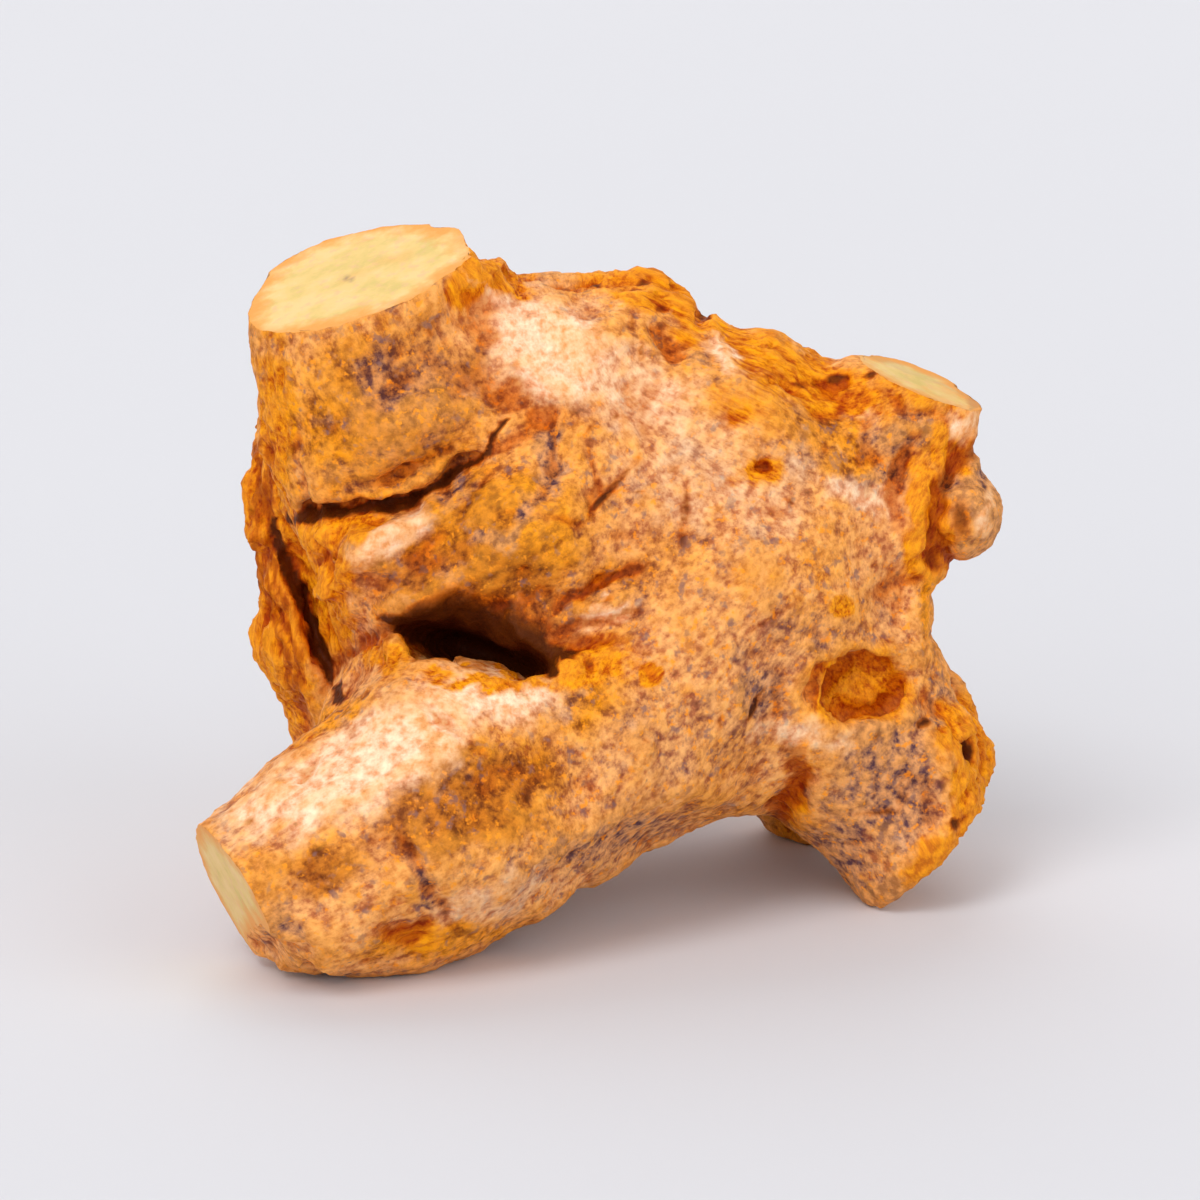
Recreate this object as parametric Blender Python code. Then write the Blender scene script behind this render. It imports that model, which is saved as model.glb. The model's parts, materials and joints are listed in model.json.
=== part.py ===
"""Notoginseng root: one dried and trimmed root, grown in one piece.

Metres, +Z up. The root lies as it rests on a table at Z = 0, with X across its front and Y away from
the viewer, and the origin under the middle of its bounding box. The numbers below are millimetres.
"""

import math

import bmesh
import bpy
from mathutils import Euler, Matrix, Vector

MM = 0.001
NODE_NAME = "notoginseng_root"

# Driving dimension: from the cut end of the lower stub to the outside of the right foot
ROOT_WIDTH = 43.4

# The same width as the lobes, branches and cuts below are drawn
SKETCH_WIDTH = 43.4
SCALE = ROOT_WIDTH / SKETCH_WIDTH

# The place in the sketch that becomes the part's origin, on the table
SKETCH_ORIGIN = (-0.17, -0.3, 0.5)

# Skin: FILLET is the radius of the smallest valley between two lobes, and TRIANGLE_SHARE is the share
# of the fine skin's faces that the part keeps
VOXEL = 0.55
FILLET = 1.7
LUMP_HEIGHT = 2.0
LUMP_WIDTH = 6.5
SMOOTH_ROUNDS = 14
SMOOTH_FACTOR = 0.5
TRIANGLE_SHARE = 0.14
RING_SIDES = 20

# Lobes of the body: middle, half lengths, turn in degrees
LOBES = {
    "core": ((3.0, 2.0, 18.6), (13.0, 10.2, 10.8), (0, 20, 0)),
    "shoulder": ((-3.0, 2.6, 27.6), (8.4, 7.4, 6.8), (0, 0, 0)),
    "web_to_stub": ((-7.0, 2.0, 30.2), (4.2, 5.2, 4.6), (0, 25, 0)),
    "upper_body": ((6.5, 3.0, 22.3), (10.4, 8.6, 9.0), (0, 15, 0)),
    "top_bump": ((2.4, 3.4, 31.6), (3.8, 3.6, 3.2), (0, 0, 0)),
    "bump_to_the_right": ((8.2, 3.6, 28.2), (4.2, 3.6, 2.8), (0, 22, 0)),
    "lip_over_crack": ((-11.0, -3.6, 27.6), (5.4, 2.6, 2.3), (0, -25, 0)),
    "fold_under_stub": ((-8.4, -1.0, 19.8), (7.8, 7.6, 3.8), (0, 14, 0)),
    "middle_bulge": ((-2.4, -1.6, 22.0), (5.6, 6.8, 5.0), (0, 25, 0)),
    "lower_lip": ((-7.6, -5.4, 11.6), (7.2, 6.2, 5.0), (0, 0, 0)),
    "front_belly": ((2.4, -4.2, 16.2), (6.4, 5.6, 5.4), (0, 0, 0)),
    "scar_shelf": ((13.2, 0.6, 14.8), (4.6, 4.4, 4.4), (0, 20, 0)),
    "side_knob": ((18.8, 1.5, 21.7), (2.8, 2.8, 3.1), (0, 0, 0)),
    "back_swelling": ((-2.0, 9.6, 15.4), (9.6, 7.0, 9.0), (0, -12, 10)),
    "back_wart": ((-4.6, 13.6, 24.4), (3.2, 3.4, 3.0), (0, 0, 0)),
    "back_wart_low": ((0.8, 16.0, 13.8), (3.2, 2.6, 3.6), (0, 0, 0)),
    "back_right_knob": ((14.2, 9.6, 13.4), (4.2, 4.0, 3.6), (0, 0, 0)),
    "back_left_knob": ((-15.2, 9.6, 24.4), (3.2, 3.2, 3.6), (0, 0, 0)),
}

# Branches: middles of the cross-sections, each with its radius
BRANCHES = {
    "upper_stub": [
        ((-5.5, 4.0, 17.0), 7.0),
        ((-10.6, 1.6, 24.0), 6.9),
        ((-12.3, 1.0, 30.0), 6.4),
        ((-13.0, 0.8, 35.0), 5.9),
        ((-13.3, 0.6, 39.0), 5.6),
    ],
    "lower_stub": [
        ((6.0, 2.0, 14.0), 8.0),
        ((-2.0, -4.8, 11.2), 8.2),
        ((-9.0, -10.2, 8.3), 7.8),
        ((-15.0, -13.4, 6.1), 6.3),
        ((-18.6, -15.0, 5.1), 4.9),
        ((-21.4, -16.2, 4.4), 3.9),
    ],
    "right_foot": [
        ((6.0, 2.5, 16.0), 8.6),
        ((12.8, 2.2, 10.2), 6.8),
        ((16.3, 2.2, 5.2), 5.3),
        ((18.6, 2.2, 1.6), 4.9),
    ],
    "right_stub": [
        ((8.0, 3.0, 18.0), 8.0),
        ((14.4, 3.6, 24.6), 4.4),
        ((17.3, 4.0, 28.4), 3.1),
        ((18.6, 4.0, 31.4), 3.0),
    ],
    "left_flap": [
        ((-8.5, 6.5, 27.0), 6.2),
        ((-13.4, 6.8, 20.5), 5.8),
        ((-13.0, 7.6, 12.5), 5.1),
        ((-11.2, 8.8, 5.5), 4.4),
        ((-10.6, 9.4, 0.4), 3.9),
    ],
    "back_stub": [
        ((4.0, 4.0, 17.0), 7.4),
        ((8.6, 11.5, 19.6), 5.6),
        ((10.6, 16.0, 21.2), 4.6),
        ((11.6, 19.5, 22.4), 4.4),
    ],
    "back_foot": [
        ((5.0, 6.0, 14.0), 7.0),
        ((10.8, 12.4, 6.4), 4.6),
        ((12.6, 14.2, 0.9), 3.6),
    ],
}

# Cut ends: a point on the cut, and the way its face looks
CUTS = {
    "upper_stub": ((-12.9, 1.0, 34.9), (-0.23, -0.19, 0.95)),
    "lower_stub": ((-18.6, -15.2, 4.9), (-0.76, -0.45, -0.47)),
    "right_foot": ((17.4, 2.2, 3.6), (0.73, 0.10, -0.68)),
    "right_stub": ((17.3, 4.0, 28.3), (0.37, 0.0, 0.93)),
    "back_stub": ((10.8, 16.4, 21.4), (0.35, 0.86, 0.36)),
}
CUT_BLOCK = 16.0

# Hollows: middle, half lengths, turn in degrees
HOLLOWS = {
    "cleft": ((-6.9, -9.6, 17.3), (4.6, 5.4, 1.1), (-14, 15, -4)),
    "gap_behind_fold": ((-15.4, 0.0, 17.4), (0.8, 4.5, 5.6), (0, -19, 8)),
    "crack": ((-10.8, -5.4, 25.5), (5.8, 2.8, 0.4), (-12, -25, 0)),
    "scar": ((13.9, -3.4, 13.2), (2.6, 1.5, 1.7), (0, 20, 30)),
}

# Table slab: width, depth and height
TABLE_SLAB = (80.0, 80.0, 10.0)


def turned(turn):
    """A rotation from three angles in degrees."""
    return Euler([math.radians(angle) for angle in turn]).to_matrix().to_4x4()


def look_along(direction):
    """A rotation that lays +Z along a direction."""
    return Vector(direction).to_track_quat("Z", "Y").to_matrix().to_4x4()


def add_ball(work, middle, half, turn, rounds=3):
    """A ball stretched to its half lengths."""
    placed = Matrix.Translation(Vector(middle)) @ turned(turn) @ Matrix.Diagonal((*half, 1.0))
    bmesh.ops.create_icosphere(work, subdivisions=rounds, radius=1.0, matrix=placed)


def add_branch(work, stations):
    """A tapering tube through its cross-sections, closed at both ends."""
    middles = [Vector(middle) for middle, _ in stations]
    loops = []
    for number, (middle, radius) in enumerate(stations):
        ahead = middles[min(number + 1, len(middles) - 1)] - middles[max(number - 1, 0)]
        placed = Matrix.Translation(Vector(middle)) @ look_along(ahead)
        ring = bmesh.ops.create_circle(work, segments=RING_SIDES, radius=radius, matrix=placed)
        loops.append(ring["verts"])
    for lower, upper in zip(loops, loops[1:]):
        sides = {edge for vert in lower + upper for edge in vert.link_edges}
        rims = [edge for edge in sides if set(edge.verts) <= set(lower) or set(edge.verts) <= set(upper)]
        bmesh.ops.bridge_loops(work, edges=rims)
    for end in (loops[0], loops[-1]):
        work.faces.new(end)


def object_from(work, name):
    """A mesh object in metres from a mesh worked in millimetres."""
    bmesh.ops.recalc_face_normals(work, faces=work.faces)
    bmesh.ops.translate(work, vec=-Vector(SKETCH_ORIGIN), verts=work.verts)
    bmesh.ops.scale(work, vec=(MM * SCALE,) * 3, verts=work.verts)
    mesh = bpy.data.meshes.new(name)
    work.to_mesh(mesh)
    work.free()
    made = bpy.data.objects.new(name, mesh)
    bpy.context.scene.collection.objects.link(made)
    return made


def as_cutter(made):
    """Keeps a cutter out of the finished part."""
    made.hide_render = True
    made.display_type = "WIRE"
    return made


def grown_body():
    """The lobes and branches, all in one mesh that still overlaps itself."""
    work = bmesh.new()
    for middle, half, turn in LOBES.values():
        add_ball(work, middle, half, turn)
    for stations in BRANCHES.values():
        add_branch(work, stations)
    return object_from(work, NODE_NAME)


def hollow_cutter(name):
    """A stretched ball that leaves its own shape as a hollow."""
    middle, half, turn = HOLLOWS[name]
    work = bmesh.new()
    add_ball(work, middle, half, turn)
    return as_cutter(object_from(work, "hollow_" + name))


def end_cutter(name):
    """A block whose lower face lies on the cut."""
    point, normal = CUTS[name]
    lifted = Matrix.Translation((0, 0, CUT_BLOCK / 2))
    placed = Matrix.Translation(Vector(point)) @ look_along(normal) @ lifted
    work = bmesh.new()
    bmesh.ops.create_cube(work, size=CUT_BLOCK, matrix=placed)
    return as_cutter(object_from(work, "cut_" + name))


def floor_cutter():
    """A slab whose top is the table, so that each foot gets a small flat."""
    width, depth, height = TABLE_SLAB
    table = SKETCH_ORIGIN[2]
    placed = Matrix.Translation((0, 0, table - height / 2)) @ Matrix.Diagonal((width, depth, height, 1.0))
    work = bmesh.new()
    bmesh.ops.create_cube(work, size=1.0, matrix=placed)
    return as_cutter(object_from(work, "table_flat"))


def cut_by(target, cutter):
    """Takes a cutter's shape away from the target."""
    cut = target.modifiers.new(cutter.name, "BOOLEAN")
    cut.operation = "DIFFERENCE"
    cut.object = cutter


def bark_material():
    """Dry orange-brown bark without gloss."""
    made = bpy.data.materials.new("dried_root_bark")
    made.use_nodes = True
    shader = made.node_tree.nodes["Principled BSDF"]
    shader.inputs["Base Color"].default_value = (0.52, 0.22, 0.06, 1.0)
    shader.inputs["Roughness"].default_value = 0.6
    shader.inputs["Metallic"].default_value = 0.0
    return made


def add_remesh(target, name):
    """One even skin round all that overlaps."""
    fuse = target.modifiers.new(name, "REMESH")
    fuse.mode = "VOXEL"
    fuse.voxel_size = VOXEL * MM * SCALE


def add_swelling(target, name, height):
    """Moves the skin out, or in, by a height in millimetres."""
    swell = target.modifiers.new(name, "DISPLACE")
    swell.mid_level = 0.0
    swell.strength = height * MM * SCALE
    return swell


def add_relaxing(target, name, rounds):
    """Evens out the skin, more with more rounds."""
    relax = target.modifiers.new(name, "SMOOTH")
    relax.factor = SMOOTH_FACTOR
    relax.iterations = rounds


def add_lumps(target):
    """Low uneven lumps, so that no lobe stays a plain ball."""
    pattern = bpy.data.textures.new("lumps", "CLOUDS")
    pattern.noise_scale = LUMP_WIDTH * MM * SCALE
    pattern.noise_depth = 1
    lumps = add_swelling(target, "lumps", LUMP_HEIGHT)
    lumps.texture = pattern
    lumps.texture_coords = "LOCAL"
    lumps.mid_level = 0.5


def add_thinning(target):
    """Fewer and larger faces, before the cuts give their sharp edges."""
    thin = target.modifiers.new("fewer_faces", "DECIMATE")
    thin.ratio = TRIANGLE_SHARE


def build_root():
    """The whole root: lobes fused in one skin, then hollows, cut ends and flats under the feet."""
    root = grown_body()
    root.data.materials.append(bark_material())
    add_remesh(root, "fuse_lobes")
    add_swelling(root, "swell_to_fill_valleys", FILLET)
    add_remesh(root, "fuse_valleys")
    add_swelling(root, "shrink_back", -FILLET)
    add_remesh(root, "even_out")
    add_relaxing(root, "round_the_joins", SMOOTH_ROUNDS)
    add_lumps(root)
    add_thinning(root)
    for name in HOLLOWS:
        cut_by(root, hollow_cutter(name))
    for name in CUTS:
        cut_by(root, end_cutter(name))
    cut_by(root, floor_cutter())
    return root


def main():
    """Clears the scene and builds the root."""
    for old in list(bpy.data.objects):
        bpy.data.objects.remove(old)
    build_root()


main()
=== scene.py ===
"""The looks of one dried notoginseng root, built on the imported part.

Numbers of the root are millimetres, in the part's own frame: X to the right, Y away from the
viewer, Z up, with the table at Z = 0. Places given as (across, above) lie on a plane through the
root's middle that squarely faces one of the Looks below, in millimetres from that middle.
"""

import json
import math
import random
from collections import namedtuple

import bpy
import numpy as np
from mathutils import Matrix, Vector, noise
from mathutils.bvhtree import BVHTree
from mathutils.kdtree import KDTree

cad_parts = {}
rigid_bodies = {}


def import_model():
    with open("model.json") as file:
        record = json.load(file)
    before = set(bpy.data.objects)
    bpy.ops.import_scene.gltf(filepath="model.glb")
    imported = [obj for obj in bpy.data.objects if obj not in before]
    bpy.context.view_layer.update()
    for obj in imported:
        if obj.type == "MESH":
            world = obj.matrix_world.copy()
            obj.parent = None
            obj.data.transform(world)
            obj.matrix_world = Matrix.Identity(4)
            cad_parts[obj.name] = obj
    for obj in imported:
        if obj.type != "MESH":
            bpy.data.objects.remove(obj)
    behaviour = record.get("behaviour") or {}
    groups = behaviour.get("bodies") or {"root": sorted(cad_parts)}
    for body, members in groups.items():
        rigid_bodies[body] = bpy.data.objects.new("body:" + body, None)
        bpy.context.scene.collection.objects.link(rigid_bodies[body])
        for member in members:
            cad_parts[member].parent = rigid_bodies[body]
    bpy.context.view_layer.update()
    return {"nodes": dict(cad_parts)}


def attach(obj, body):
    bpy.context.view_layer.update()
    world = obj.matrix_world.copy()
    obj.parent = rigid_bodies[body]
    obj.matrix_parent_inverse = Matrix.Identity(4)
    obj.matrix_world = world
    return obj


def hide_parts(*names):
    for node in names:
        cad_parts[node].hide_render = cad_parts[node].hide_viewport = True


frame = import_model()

bl_info = {
    "name": "Notoginseng Root",
    "version": (1, 0, 0),
    "blender": (4, 5, 0),
    "location": "3D View > Sidebar > Root",
    "description": "Models one dried notoginseng root and a plain studio for it",
    "category": "Add Mesh",
}

MM = 0.001
NODE = "notoginseng_root"
PIECE = "dried_root"
MIDDLE = (0.17, 0.30, 16.8)
VIEW_DISTANCE = 500.0
FRONT_TILT = 15.0
TABLE_GAP = 0.01
NOISE_SEED = 11

# Carving: the size of the net that is carved, the size and the shift of the bends in a stroke's path,
# how sharply a one-sided stroke ends at its path, and the difference below which two distances tie
CARVING_SIZE = 0.32
BEND_SIZE = 1.3
BEND_SHIFT = 0.45
STROKE_EDGE = 0.04
TIE = 1e-6

# The outline of a spot is ragged by a share of its radius, and its raised rim lies a little outside it
RAGGED_SIZE = 0.9
RAGGED_SHARE = 0.22
RIM_RADIUS = 1.15
RIM_WIDTH = 0.22

# Cut ends: how far a stub grows past its cut, how far past the cut its points are looked for, and how
# close to the plane of the cut its face lies
CUT_LENGTHENING = 1.3
CUT_REACH_PAST = 3.0
ON_CUT = 0.004

# The skin that grows there: how squarely it faces the way of the cut, how far past the cut it lies, and
# within which share of the face's reach
GROWTH_FACING = (0.55, 0.9)
GROWTH_PAST = (-1.3, -0.5)
GROWTH_SHARE = 0.9

# Wrinkles along a stub: between which places before and past its cut they lie, over which length they
# fade in, and their height, size and stretch
WRINKLES_FROM = -14
WRINKLES_TO = 2
WRINKLE_FADE = 5
WRINKLE_HEIGHT = 0.10
WRINKLE_SIZE = 0.9
WRINKLE_STRETCH = 0.88

# Fibres: how far the direction given at one place reaches, and how long they are drawn out
FIBRE_REACH = 5.0
FIBRE_STRETCH = 0.88

# Finishes: the sizes of the bends in the edges of patches, the half size below which a patch is small,
# and, for large and for small patches, how far the edge bends and between which shares of the radius
# it fades
EDGE_BENDS = (1.6, 0.6)
SMALL_PATCH = 1
EDGE_SHIFTS = (0.9, 0.2)
EDGE_FADES = ((0.35, 1.45), (0.7, 1.15))

# Relief of the bark: sizes of its lumps, and their heights or shares of the crust's height
CRUST_SIZE = 1.0
FLAKE_SIZE = 2.3
FLAKE_EDGE = 14
FLAKE_SHARE = 0.5
GRIT_SIZE = 0.42
GRIT_SHARE = 0.3
SWELL_SIZE = 4.0
SWELL_HEIGHT = 0.24
RUBBED_SMOOTHING = 0.55
STRAND_SIZES = (0.5, 0.3)
CRUMB_SIZE = 0.9
PIT_SIZE = 1.2
PIT_FROM = 0.40
PIT_DEPTH = 1.4
CORK_SIZE = 0.5
CORK_HEIGHT = 0.06

# How hollow the skin is: rounds of averaging, and the height in millimetres that counts as 1
HOLLOWS = {"fine_hollow": (5, 0.05), "broad_hollow": (40, 0.32)}

# The studio: corners of the round table, steps of the curve of its edge, and the lamps, each with the
# side that its light comes from and how wide it looks in degrees
TABLE_CORNERS = 128
CURVE_STEPS = 12
LAMPS = {
    "key": ((-0.35, -0.60, 0.95), 28),
    "side": ((0.85, -0.65, 0.3), 60),
    "front": ((-0.4, -1.0, 0.35), 60),
    "back": ((-0.2, 0.7, 0.8), 50),
}


def linear(code):
    """A colour for Blender from its sRGB hex value."""
    parts = [int(code[at:at + 2], 16) / 255 for at in (1, 3, 5)]
    return tuple(part / 12.92 if part <= 0.04045 else ((part + 0.055) / 1.055) ** 2.4 for part in parts)


class Look:
    """A direction that the root is looked at from, and the flat places on the plane that faces it."""

    def __init__(self, azimuth, elevation):
        turn, rise = math.radians(azimuth), math.radians(elevation)
        flat = math.cos(rise)
        self.to_viewer = np.array((math.sin(turn) * flat, -math.cos(turn) * flat, math.sin(rise)))
        self.across = np.array((math.cos(turn), math.sin(turn), 0))
        self.above = np.cross(self.to_viewer, self.across)
        self.eye = np.array(MIDDLE) + self.to_viewer * VIEW_DISTANCE

    def flat(self, points):
        """Where points show on the plane, as across and above."""
        away = points - self.eye
        size = VIEW_DISTANCE / -(away @ self.to_viewer)
        return np.stack((away @ self.across * size, away @ self.above * size), axis=-1)

    def seen(self, tree, place):
        """The point of the skin that shows at a place of the plane."""
        aim = np.array(MIDDLE) + self.across * place[0] + self.above * place[1]
        hit = tree.ray_cast(Vector(self.eye), Vector(aim - self.eye).normalized())[0]
        return np.array(hit if hit is not None else tree.find_nearest(Vector(aim))[0])

    def facing(self, normals, over=0.8):
        """How much a mark shows: 1 on skin that faces the viewer, 0 on skin that faces away. With a
        larger over, the mark reaches further round."""
        return np.clip(normals @ self.to_viewer * 2.5 + over, 0, 1)


FRONT = Look(0, FRONT_TILT)
RIGHT = Look(90, FRONT_TILT)
BACK = Look(180, FRONT_TILT)
LEFT = Look(270, FRONT_TILT)
TOP = Look(0, 80)

# A stroke presses the skin in (or raises it, if its depth is negative) along a path of
# (across, above, width, depth). Its dirt says how dark its bottom is painted: mostly painted
# shade in the crack or under its edge, with some dirt. Its side says which side of the path moves. With a
# drift, the skin moves straight away from the viewer instead of square to itself,
# and slides that much up the plane as it goes, which tucks it behind the edge that stays.
Stroke = namedtuple("Stroke", "look dirt path side drift", defaults=("both", None))

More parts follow.
